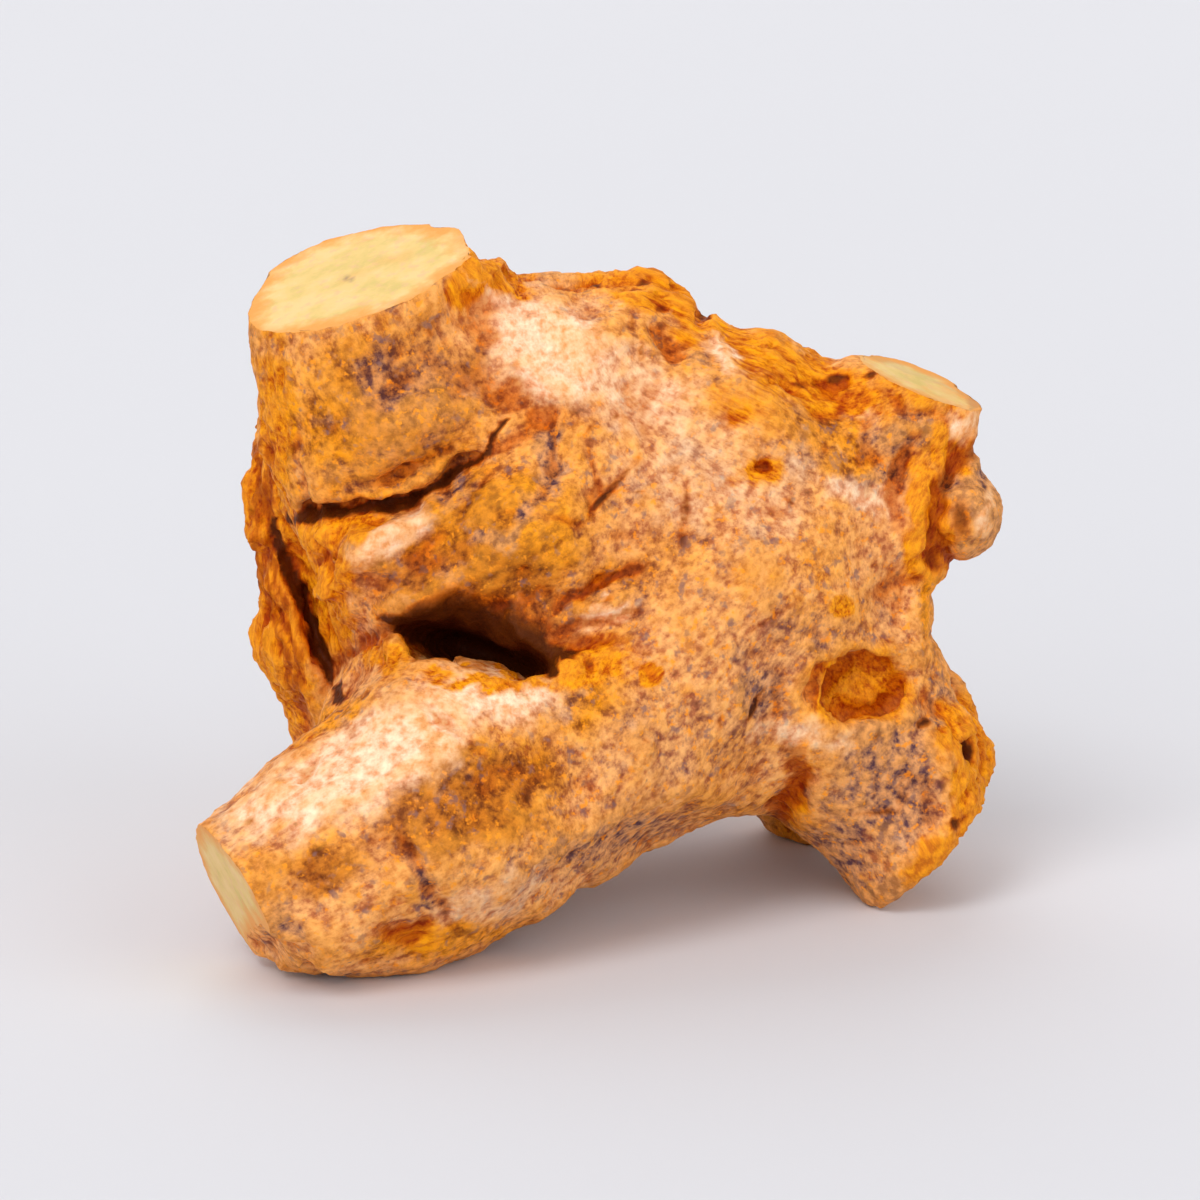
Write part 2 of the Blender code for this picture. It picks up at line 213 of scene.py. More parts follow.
STROKES = {
    "crack_under_upper_stub": Stroke(FRONT, 0.15, [
        (-16.6, 4.6, 0.6, 0.1), (-15.9, 4.8, 1.1, 0.9), (-15.1, 4.8, 1.4, 1.5), (-12.7, 5.15, 1.4, 1.5),
        (-11.0, 5.4, 1.3, 1.4), (-9.1, 5.9, 1.2, 1.4), (-8.1, 6.8, 1.1, 1.3), (-7.0, 7.5, 1.0, 1.2),
        (-6.1, 8.0, 0.9, 1.0), (-5.8, 9.0, 0.8, 0.8), (-5.0, 9.7, 0.6, 0.1),
    ], "below", 0.45),
    "slot_of_crack": Stroke(FRONT, 1.0, [
        (-16.3, 4.4, 0.5, 0.4), (-15.4, 4.5, 0.75, 1.3), (-14.2, 4.6, 0.7, 1.3), (-12.7, 4.85, 0.5, 1.0),
        (-11.0, 5.15, 0.45, 0.9), (-9.2, 5.6, 0.45, 0.9), (-8.2, 6.5, 0.5, 0.9), (-7.0, 7.3, 0.45, 0.8),
        (-6.1, 7.9, 0.45, 0.7), (-5.8, 8.8, 0.4, 0.5), (-5.1, 9.5, 0.35, 0.1),
    ], "both", 0.3),
    "lip_of_upper_stub": Stroke(FRONT, 0, [
        (-15.9, 4.8, 2.2, -0.05), (-13.7, 4.95, 2.6, -0.25), (-10.5, 5.45, 2.6, -0.25),
        (-8.1, 6.8, 2.2, -0.2), (-6.1, 8.2, 1.6, -0.1), (-5.0, 9.7, 1.0, 0),
    ], "above"),
    "ridge_below_crack": Stroke(FRONT, 0, [
        (-14.4, 0.6, 1.0, -0.3), (-13.3, 1.8, 1.5, -1.0), (-12.2, 2.7, 1.5, -1.3),
        (-10.9, 3.3, 1.4, -1.2), (-9.6, 4.0, 1.2, -1.0), (-8.0, 4.6, 1.1, -0.7), (-6.7, 5.4, 1.0, -0.2),
    ]),
    "trough_below_ridge": Stroke(FRONT, 0.15, [
        (-12.6, -0.3, 0.8, 0.1), (-11.8, 0.8, 1.4, 0.7), (-10.2, 1.5, 1.6, 0.8), (-8.4, 2.2, 1.4, 0.6),
        (-6.8, 3.0, 1.0, 0.2),
    ]),
    "notch_at_left_edge": Stroke(FRONT, 0.4, [
        (-16.2, 1.9, 0.5, 0.6), (-15.2, 2.1, 0.45, 0.6), (-14.3, 2.6, 0.4, 0.1),
    ]),
    "cleft": Stroke(FRONT, 0.4, [
        (-14.6, -4.6, 0.8, 0.1), (-13.6, -3.5, 1.3, 0.6), (-12.7, -2.85, 1.6, 1.0),
        (-11.5, -2.4, 1.5, 1.1), (-10.9, -1.9, 1.8, 1.2), (-10.2, -2.7, 3.2, 1.6),
        (-10.0, -3.1, 4.2, 2.0), (-8.4, -3.3, 5.0, 2.4), (-6.3, -3.7, 5.4, 2.6), (-4.4, -4.1, 5.0, 2.4),
        (-2.9, -4.0, 4.0, 1.7), (-2.6, -3.1, 2.6, 1.0), (-1.1, -2.6, 1.6, 0.7), (0.9, -2.4, 1.0, 0.1),
    ], "above", -0.35),
    "void_of_cleft": Stroke(FRONT, 0.9, [
        (-10.6, -1.7, 0.7, 0.6), (-9.3, -1.9, 1.5, 1.6), (-7.8, -2.2, 1.9, 2.2), (-6.3, -2.6, 1.9, 2.2),
        (-4.8, -3.1, 1.6, 1.9), (-3.5, -3.5, 1.2, 1.2), (-2.4, -3.7, 0.6, 0.3),
    ], "both", 0.25),
    "shade_over_cleft": Stroke(FRONT, 0.9, [
        (-11.2, -1.4, 1.2, 0), (-10.2, -1.8, 3.2, 0), (-8.4, -2.2, 4.8, 0), (-6.3, -2.6, 5.0, 0),
        (-4.4, -3.1, 4.6, 0), (-2.9, -3.4, 3.2, 0), (-2.0, -3.3, 1.2, 0),
    ], "above"),
    "lip_of_cleft": Stroke(FRONT, 0, [
        (-13.6, -3.5, 1.2, -0.2), (-11.5, -2.4, 1.4, -0.4), (-10.6, -2.3, 1.4, -0.5),
        (-9.8, -3.2, 1.2, -0.3), (-6.3, -3.7, 1.0, -0.2), (-3.6, -4.1, 1.2, -0.1), (-2.4, -3.2, 1.4, 0.2),
        (-0.6, -2.6, 1.2, 0.0), (0.9, -2.4, 0.8, 0),
    ], "below"),
    "slit_beside_bulge": Stroke(FRONT, 0.5, [
        (-2.4, -0.6, 0.6, 0.1), (-1.2, 0.0, 1.0, 0.8), (0.2, 0.65, 1.0, 1.1), (1.4, 1.2, 0.9, 0.8),
        (2.4, 1.8, 0.6, 0.1),
    ], "above", -0.2),
    "lip_of_slit": Stroke(FRONT, 0, [
        (-1.2, -0.75, 0.5, -0.2), (-0.3, -0.5, 0.6, -0.6), (0.9, -0.15, 0.6, -0.6), (2.0, 0.3, 0.5, -0.4),
        (2.6, 0.7, 0.4, 0),
    ]),
    "line_under_slit": Stroke(FRONT, 0.4, [
        (-2.6, -1.6, 0.45, 0.1), (-1.0, -1.25, 0.5, 0.6), (0.9, -0.85, 0.45, 0.5),
        (2.2, -0.4, 0.35, 0.05),
    ]),
    "arc_on_bulge": Stroke(FRONT, 0.1, [
        (-4.3, 10.1, 0.6, 0.1), (-3.4, 9.7, 0.8, 0.4), (-2.5, 8.9, 0.9, 0.5), (-2.3, 7.4, 0.9, 0.5),
        (-3.05, 5.65, 0.9, 0.45), (-4.4, 4.5, 0.9, 0.4), (-6.1, 3.3, 0.8, 0.2), (-7.2, 2.4, 0.6, 0.05),
    ]),
    "outer_arc_on_bulge": Stroke(FRONT, 0, [
        (-0.6, 8.0, 0.6, 0.05), (-0.3, 6.4, 0.7, 0.3), (-0.4, 4.9, 0.7, 0.35), (-1.3, 3.6, 0.7, 0.3),
        (-3.4, 2.6, 0.7, 0.25), (-5.2, 1.6, 0.6, 0.05),
    ]),
    "fold_under_shoulder": Stroke(FRONT, 0.2, [
        (-8.8, 12.4, 1.0, 0.1), (-7.2, 11.8, 1.8, 0.5), (-4.8, 10.8, 2.0, 0.7), (-2.6, 10.0, 1.8, 0.5),
        (-0.6, 9.8, 1.4, 0.2), (2.0, 10.2, 1.0, 0.05),
    ]),
    "valley_beside_upper_stub": Stroke(FRONT, 0, [
        (-6.8, 16.4, 0.8, 0.1), (-6.3, 15.2, 1.1, 0.5), (-6.0, 14.0, 1.2, 0.5), (-6.4, 12.6, 1.0, 0.1),
    ]),
    "seam_beside_flap": Stroke(FRONT, 0.5, [
        (-18.4, 8.4, 0.4, 0.1), (-18.1, 6.0, 0.5, 0.4), (-17.7, 3.8, 0.5, 0.6), (-16.9, 2.3, 0.5, 0.6),
        (-16.2, 1.4, 0.5, 0.3),
    ]),
    "gap_beside_flap": Stroke(FRONT, 1.0, [
        (-17.5, 4.2, 0.4, 0.3), (-16.9, 2.2, 0.5, 1.0), (-16.1, 0.4, 0.8, 1.8), (-15.5, -1.1, 0.95, 2.3),
        (-14.9, -2.6, 0.95, 2.3), (-14.3, -4.1, 0.7, 1.6), (-13.9, -5.2, 0.4, 0.2),
    ], "both", 0.0),
    "back_of_flap": Stroke(FRONT, 0, [
        (-18.3, 9.6, 1.0, -0.1), (-18.6, 7.6, 1.8, -1.0), (-18.8, 5.0, 2.0, -1.3),
        (-18.8, 2.2, 1.9, -1.6), (-18.4, -0.4, 1.8, -1.3), (-17.8, -2.6, 1.5, -0.7),
        (-17.2, -4.4, 1.0, -0.1),
    ]),
    "end_of_flap": Stroke(FRONT, 0, [
        (-17.0, -4.8, 1.0, 0.05), (-16.6, -6.0, 1.3, 0.7), (-16.2, -7.4, 1.4, 0.9),
        (-15.8, -9.0, 1.4, 0.5),
    ]),
    "rounding_of_foot": Stroke(FRONT, 0, [
        (20.6, -6.0, 1.2, -0.05), (20.8, -9.0, 1.8, -0.3), (19.8, -12.0, 2.0, -0.5),
        (17.6, -14.2, 2.0, -0.5), (15.4, -15.6, 1.2, -0.1),
    ]),
    "rounding_of_lower_corner": Stroke(FRONT, 0, [
        (-19.2, -16.6, 1.2, 0.4), (-18.0, -18.4, 2.2, 1.8), (-16.2, -20.2, 2.2, 1.6),
        (-13.4, -20.8, 1.6, 0.4),
    ]),
    "corner_of_small_stub": Stroke(FRONT, 0, [
        (19.4, 11.0, 0.9, -0.2), (20.0, 9.9, 1.2, -0.8), (20.1, 8.8, 1.2, -0.8), (20.2, 7.6, 0.9, -0.2),
    ]),
    "lifting_of_belly": Stroke(FRONT, 0, [
        (-6.4, -18.4, 1.2, 0.05), (-4.4, -17.4, 2.0, 0.4), (-2.2, -16.4, 2.6, 1.1),
        (-0.4, -15.0, 2.8, 1.4), (2.2, -13.6, 2.8, 1.3), (5.4, -12.2, 2.4, 0.7), (7.8, -11.8, 1.4, 0.05),
    ]),
    "side_of_foot": Stroke(FRONT, 0, [
        (16.8, 0.6, 1.2, -0.1), (17.8, -2.4, 1.8, -0.6), (19.0, -5.0, 1.8, -0.6), (20.1, -7.6, 1.6, -0.4),
        (20.6, -9.4, 1.0, -0.05),
    ]),
    "wrinkle_on_lower_stub": Stroke(FRONT, 0.3, [
        (-9.9, -5.2, 0.6, 0.1), (-9.1, -5.7, 0.9, 0.6), (-8.1, -6.2, 1.0, 0.75), (-7.2, -6.9, 0.9, 0.6),
        (-6.3, -7.9, 0.6, 0.05),
    ], "below"),
    "crease_on_lower_stub": Stroke(FRONT, 0.25, [
        (-10.9, -11.6, 0.5, 0.05), (-10.4, -13.0, 0.65, 0.5), (-9.4, -15.0, 0.7, 0.65),
        (-8.3, -16.7, 0.65, 0.45), (-7.8, -17.6, 0.5, 0.05),
    ]),
    "hollow_side_of_lower_stub": Stroke(FRONT, 0.1, [
        (-15.8, -14.6, 1.8, 0.1), (-12.8, -13.4, 2.6, 0.5), (-8.6, -11.4, 3.0, 0.7),
        (-4.8, -9.6, 2.6, 0.45), (-2.0, -8.2, 1.8, 0.05),
    ]),
    "chip_under_lower_stub": Stroke(FRONT, 0.4, [
        (-11.6, -17.6, 0.8, 0.2), (-10.6, -17.9, 1.0, 0.6), (-9.5, -17.4, 0.8, 0.2),
    ]),
    "seam_round_side_knob": Stroke(FRONT, 0.5, [
        (20.6, 8.6, 0.5, 0.2), (19.2, 7.6, 0.8, 0.9), (18.1, 5.8, 0.9, 1.2), (17.9, 3.6, 0.9, 1.2),
        (18.9, 1.9, 0.8, 0.9), (20.0, 1.2, 0.5, 0.2),
    ]),
    "fold_under_small_cut": Stroke(FRONT, 0.3, [
        (14.2, 11.6, 0.6, 0.1), (16.0, 10.7, 1.0, 0.7), (17.9, 9.9, 1.0, 0.7), (19.2, 9.8, 0.6, 0.1),
    ], "below"),
    "furrow_left_of_side_knob": Stroke(FRONT, 0.3, [
        (16.8, 8.8, 0.6, 0.1), (16.2, 7.2, 0.9, 0.6), (15.6, 5.6, 0.9, 0.6), (16.0, 4.0, 0.6, 0.1),
    ]),
    "bared_upper_right": Stroke(FRONT, 0, [
        (5.8, 15.2, 1.2, 0.1), (8.4, 12.8, 2.0, 0.45), (11.6, 11.2, 2.5, 0.55), (14.2, 9.2, 2.4, 0.45),
        (15.4, 7.0, 1.6, 0.1),
    ]),
    "edge_of_bared_place": Stroke(FRONT, 0.4, [
        (8.4, 12.4, 0.5, 0.05), (10.2, 11.9, 0.7, 0.4), (12.2, 11.8, 0.8, 0.5), (14.0, 11.2, 0.6, 0.1),
    ], "below"),
    "ridge_beside_top_bump": Stroke(FRONT, 0, [
        (5.4, 15.4, 0.5, -0.1), (6.2, 14.4, 0.7, -0.45), (6.9, 13.2, 0.7, -0.45), (7.5, 12.0, 0.6, -0.1),
    ]),
    "edge_of_foot_face": Stroke(FRONT, 0, [
        (15.4, -5.4, 0.8, -0.1), (17.8, -7.0, 0.9, -0.45), (18.7, -9.4, 0.9, -0.5),
        (18.4, -11.6, 0.9, -0.45), (16.6, -13.8, 0.8, -0.25), (14.6, -15.4, 0.7, 0),
    ]),
    "crease_inside_foot": Stroke(FRONT, 0.4, [
        (10.4, -7.8, 0.8, 0.1), (10.8, -9.6, 1.1, 0.6), (9.6, -11.2, 1.1, 0.6), (9.4, -12.6, 0.8, 0.1),
    ]),
    "furrow_down_right_side": Stroke(RIGHT, 0.25, [
        (1.5, -2.0, 0.9, 0.1), (2.6, -5.5, 1.4, 0.8), (2.4, -9.5, 1.6, 1.0), (1.0, -13.0, 1.4, 0.8),
        (0.2, -15.5, 0.8, 0.1),
    ]),
    "wrinkle_behind_side_knob": Stroke(RIGHT, 0.25, [
        (0.5, 5.6, 0.7, 0.1), (3.5, 6.2, 1.1, 0.7), (6.8, 5.0, 1.2, 0.9), (9.4, 2.4, 1.0, 0.6),
        (10.4, -0.6, 0.7, 0.1),
    ], "below"),
    "long_wrinkle_on_right_side": Stroke(RIGHT, 0.12, [
        (6.5, 13.5, 0.6, 0.1), (5.2, 10.5, 0.8, 0.5), (5.6, 7.5, 0.8, 0.5), (4.6, 4.5, 0.6, 0.1),
    ]),
    "crack_under_upper_stub_behind": Stroke(BACK, 0.6, [
        (17.6, 8.4, 0.7, 0.1), (15.6, 8.0, 1.2, 1.0), (13.0, 7.8, 1.4, 1.3), (10.4, 8.4, 1.3, 1.2),
        (8.2, 9.8, 1.1, 0.9), (6.6, 12.0, 0.8, 0.1),
    ], "below", 0.4),
    "seam_round_back_stub": Stroke(BACK, 0.25, [
        (-8.2, 5.6, 0.7, 0.1), (-5.6, 4.0, 1.0, 0.7), (-4.4, 0.8, 1.1, 0.9), (-4.8, -2.6, 1.0, 0.8),
        (-7.0, -5.0, 1.0, 0.6), (-9.6, -5.8, 0.7, 0.1),
    ]),
    "crevice_beside_left_knob": Stroke(BACK, 0.35, [
        (11.4, 7.6, 0.7, 0.1), (10.6, 5.0, 1.1, 0.9), (11.0, 1.8, 1.2, 1.1), (12.6, -0.8, 1.0, 0.8),
        (14.6, -1.8, 0.7, 0.1),
    ]),
    "long_wrinkle_behind": Stroke(BACK, 0.12, [
        (0.6, 11.5, 0.6, 0.1), (-0.8, 8.0, 0.9, 0.6), (-0.4, 4.5, 0.9, 0.6), (0.8, 1.0, 0.8, 0.5),
        (1.0, -2.0, 0.6, 0.1),
    ]),
    "fold_over_back_foot": Stroke(BACK, 0.2, [
        (-15.4, -9.0, 0.8, 0.1), (-12.6, -9.6, 1.4, 0.7), (-9.6, -9.4, 1.6, 0.9), (-6.4, -8.0, 1.4, 0.7),
        (-3.6, -7.4, 0.8, 0.1),
    ], "above"),
    "fold_over_left_foot": Stroke(BACK, 0.2, [
        (14.6, -8.6, 0.8, 0.1), (11.8, -9.4, 1.4, 0.6), (8.8, -9.0, 1.5, 0.8), (6.0, -10.0, 1.0, 0.1),
    ], "above"),
    "wrinkle_under_wart": Stroke(BACK, 0.2, [
        (7.6, 2.6, 0.6, 0.1), (6.0, 1.0, 0.9, 0.6), (3.8, 0.6, 0.9, 0.6), (2.2, 1.8, 0.6, 0.1),
    ], "below"),
    "crack_under_upper_stub_at_left": Stroke(LEFT, 0.6, [
        (-8.4, 8.8, 0.7, 0.1), (-6.4, 7.9, 1.0, 0.7), (-3.6, 7.3, 1.1, 0.9), (-1.2, 6.9, 0.8, 0.5),
        (0.4, 6.8, 0.6, 0.05),
    ], "below", 0.4),
    "long_wrinkle_at_left": Stroke(LEFT, 0.2, [
        (-5.0, 4.4, 0.6, 0.1), (-5.8, 0.4, 0.9, 0.6), (-5.2, -4.2, 1.0, 0.7), (-6.2, -8.8, 0.8, 0.4),
        (-6.6, -11.6, 0.6, 0.1),
    ]),
    "furrow_over_top": Stroke(TOP, 0.15, [
        (-5.4, 7.6, 0.8, 0.1), (-2.0, 6.0, 1.3, 0.6), (2.6, 6.2, 1.4, 0.7), (7.0, 7.4, 1.2, 0.5),
        (10.4, 7.8, 0.8, 0.1),
    ]),
    "wrinkle_over_top": Stroke(TOP, 0.15, [
        (-3.4, 11.0, 0.6, 0.1), (0.6, 10.2, 0.9, 0.5), (4.8, 11.4, 0.9, 0.5), (7.6, 12.2, 0.6, 0.1),
    ]),
}
for number, share in enumerate((0.6, 1.25)):
    STROKES["groove_%d_in_flap" % number] = Stroke(FRONT, 0.45, [
        (-18.6 + share, 8.5, 0.35, 0.05), (-19.0 + share, 6.0, 0.4, 0.3), (-19.0 + share, 3.0, 0.4, 0.35),
        (-18.3 + share, 0.0, 0.4, 0.35), (-17.2 + share * 0.8, -3.4, 0.4, 0.3),
        (-16.2 + share * 0.5, -5.8, 0.35, 0.05),
    ])
for number, share in enumerate((-3.2, -1.0, 1.2, 3.4)):
    STROKES["groove_%d_at_left" % number] = Stroke(LEFT, 0.25, [
        (share + 0.6, 5.4, 0.4, 0.05), (share, 1.5, 0.55, 0.45), (share + 0.5, -2.8, 0.55, 0.5),
        (share * 0.8, -6.6, 0.5, 0.35), (share * 0.6, -9.0, 0.4, 0.05),
    ])

# A spot is a round dent, or a wart if its depth is negative: its place, half sizes, turn in degrees,
# depth, the share of its radius where its wall starts, the height of its raised rim, and its
# dirt: how dark it is painted, mostly as painted shade in a hole or dent, with some dirt.
Spot = namedtuple("Spot", "look across above half_wide half_high turn depth wall rim dirt")

SPOTS = {
    "bulge": Spot(FRONT, -5.0, 3.4, 6.0, 4.6, 20, -0.75, 0.0, 0, 0),
    "scar_of_side_root": Spot(FRONT, 13.7, -4.7, 2.9, 1.9, 10, 0.8, 0.75, 0.25, 0),
    "floor_of_scar": Spot(FRONT, 14.1, -4.6, 2.0, 1.3, 12, -1.1, 0.4, 0, 0.12),
    "notch_of_scar": Spot(FRONT, 11.9, -4.3, 0.9, 0.9, 0, 0.2, 0.6, 0.1, 0.2),
    "pit_right_of_middle": Spot(FRONT, 8.7, 7.1, 0.85, 0.5, -10, 1.3, 0.3, 0.15, 0.6),
    "ring_spot_right": Spot(FRONT, 12.9, -0.3, 0.6, 0.6, 0, 0.15, 0.5, 0.12, 0),
    "ring_spot_middle": Spot(FRONT, 2.7, -3.9, 0.55, 0.55, 0, 0.2, 0.4, 0.15, 0.1),
    "hole_in_broken_end": Spot(FRONT, 19.5, -8.0, 0.5, 0.9, 10, 1.3, 0.4, 0.1, 1.0),
    "small_hole_in_broken_end": Spot(FRONT, 18.9, -11.9, 0.35, 0.5, 30, 0.6, 0.4, 0.05, 0.8),
    "hole_in_top_bump": Spot(FRONT, 5.6, 15.4, 0.5, 0.9, -25, 1.0, 0.4, 0.1, 0.9),
    "second_hole_in_top_bump": Spot(FRONT, 2.3, 16.9, 0.5, 0.3, 0, 0.7, 0.4, 0.05, 0.8),
    "third_hole_in_top_bump": Spot(FRONT, 4.4, 16.9, 0.4, 0.3, -30, 0.5, 0.4, 0.05, 0.8),
    "fourth_hole_in_top_bump": Spot(FRONT, 3.3, 15.6, 0.5, 0.3, 20, 0.5, 0.4, 0.05, 0.6),
    "hole_beside_small_cut": Spot(FRONT, 12.6, 11.8, 0.9, 0.35, 10, 0.8, 0.4, 0.05, 0.8),
    "second_hole_beside_small_cut": Spot(FRONT, 14.4, 12.0, 0.6, 0.28, 25, 0.6, 0.4, 0.05, 0.8),
    "third_hole_beside_small_cut": Spot(FRONT, 10.6, 11.4, 0.6, 0.3, -20, 0.5, 0.4, 0.05, 0.7),
    "dent_in_crevice": Spot(FRONT, 17.6, 2.2, 0.6, 1.0, 20, 0.7, 0.4, 0, 0.6),
    "second_dent_in_crevice": Spot(FRONT, 18.7, 8.2, 0.7, 0.5, 30, 0.5, 0.4, 0, 0.5),
    "third_dent_in_crevice": Spot(FRONT, 16.8, 1.2, 0.5, 0.4, 0, 0.5, 0.4, 0.05, 0.5),
    "dark_side_of_knob": Spot(FRONT, 19.2, 4.3, 0.9, 1.8, 0, 0.15, 0.1, 0, 0.6),
    "knob_under_small_cut": Spot(FRONT, 15.4, 8.6, 1.3, 0.9, 20, -0.5, 0.1, 0, 0),
    "second_knob_under_small_cut": Spot(FRONT, 14.2, 6.6, 1.0, 0.7, 20, -0.4, 0.1, 0, 0),
    "crumb_in_cleft_corner": Spot(FRONT, -10.9, -2.4, 0.8, 0.6, 0, -0.4, 0.2, 0, 0),
    "crumb_right_of_cleft": Spot(FRONT, -1.7, -3.5, 0.9, 0.6, 20, -0.1, 0.2, 0, 0),
    "hole_right_of_crumb": Spot(FRONT, -0.6, -3.4, 0.5, 0.35, 0, 0.6, 0.4, 0, 0.6),
    "second_crumb_right_of_cleft": Spot(FRONT, 0.6, -2.7, 0.6, 0.5, 0, -0.15, 0.2, 0, 0),
    "crumb_at_gap": Spot(FRONT, -13.3, -0.6, 1.0, 0.8, 30, -0.6, 0.2, 0, 0),
    "second_crumb_at_gap": Spot(FRONT, -14.5, 0.6, 0.8, 0.9, 30, -0.5, 0.2, 0, 0),
    "crumb_below_crack": Spot(FRONT, -14.8, 3.3, 0.9, 0.6, 30, -0.5, 0.2, 0, 0),
    "flake_at_upper_cut": Spot(FRONT, -6.2, 17.0, 2.3, 1.6, -25, -1.5, 0.0, 0, 0),
    "side_knob": Spot(FRONT, 20.2, 4.4, 1.6, 2.3, 0, -0.5, 0.1, 0, 0),
    "hole_behind_upper_cut": Spot(FRONT, -6.4, 18.9, 0.5, 0.3, -30, 0.5, 0.4, 0, 0.8),
    "dark_speck_on_upper_cut": Spot(FRONT, -13.8, 18.2, 0.34, 0.2, -20, 0, 0.2, 0, 0.7),
    "scar_behind": Spot(BACK, 3.4, -5.6, 2.0, 1.5, -15, 0.5, 0.75, 0.25, 0.15),
    "floor_of_scar_behind": Spot(BACK, 3.4, -5.6, 1.2, 0.8, -15, -0.5, 0.3, 0, 0.3),
    "scar_on_right_side": Spot(RIGHT, 6.0, -4.6, 1.5, 1.9, 10, 0.5, 0.75, 0.25, 0.2),
    "scar_at_left": Spot(LEFT, -9.2, -1.4, 1.5, 1.2, 20, 0.5, 0.7, 0.25, 0.2),
    "scar_on_top": Spot(TOP, 1.6, 8.6, 1.4, 1.0, 10, 0.4, 0.7, 0.2, 0.2),
}

# Small marks of the bark, scattered round the root: how many, the azimuths that they lie between,
# half sizes from and to, height over width, depth, wall, rim and dirt (painted shade with
# some dirt in the mark). The ranges below hold for all.
Scatter = namedtuple("Scatter", "count azimuths sizes flatness depth wall rim dirt")

SCATTER_SEED = 11
SCATTER_ELEVATIONS = (-10, 70)
SCATTER_PLACES = (-15, 15)
SCATTER_TURNS = (-40, 40)
SCATTER_DEPTHS = (0.6, 1.2)
SCATTERED = {
    "lenticel": Scatter(34, (60, 300), (0.45, 0.9), 0.42, 0.35, 0.3, 0.14, 0.4),
    "rootlet_scar": Scatter(14, (60, 300), (0.6, 1.1), 0.85, 0.35, 0.5, 0.2, 0.3),
    "wart": Scatter(30, (60, 300), (0.5, 1.2), 0.8, -0.4, 0.1, 0.0, 0.0),
    "dent": Scatter(16, (60, 300), (1.6, 3.0), 0.7, 0.5, 0.0, 0.0, 0.0),
    "pit": Scatter(16, (60, 300), (0.3, 0.5), 0.8, 0.7, 0.3, 0.08, 0.9),
    "pimple": Scatter(80, (0, 360), (0.35, 0.6), 0.8, -0.16, 0.1, 0.0, 0.0),
    "pinhole": Scatter(50, (0, 360), (0.3, 0.45), 0.8, 0.2, 0.2, 0.03, 0.5),
}
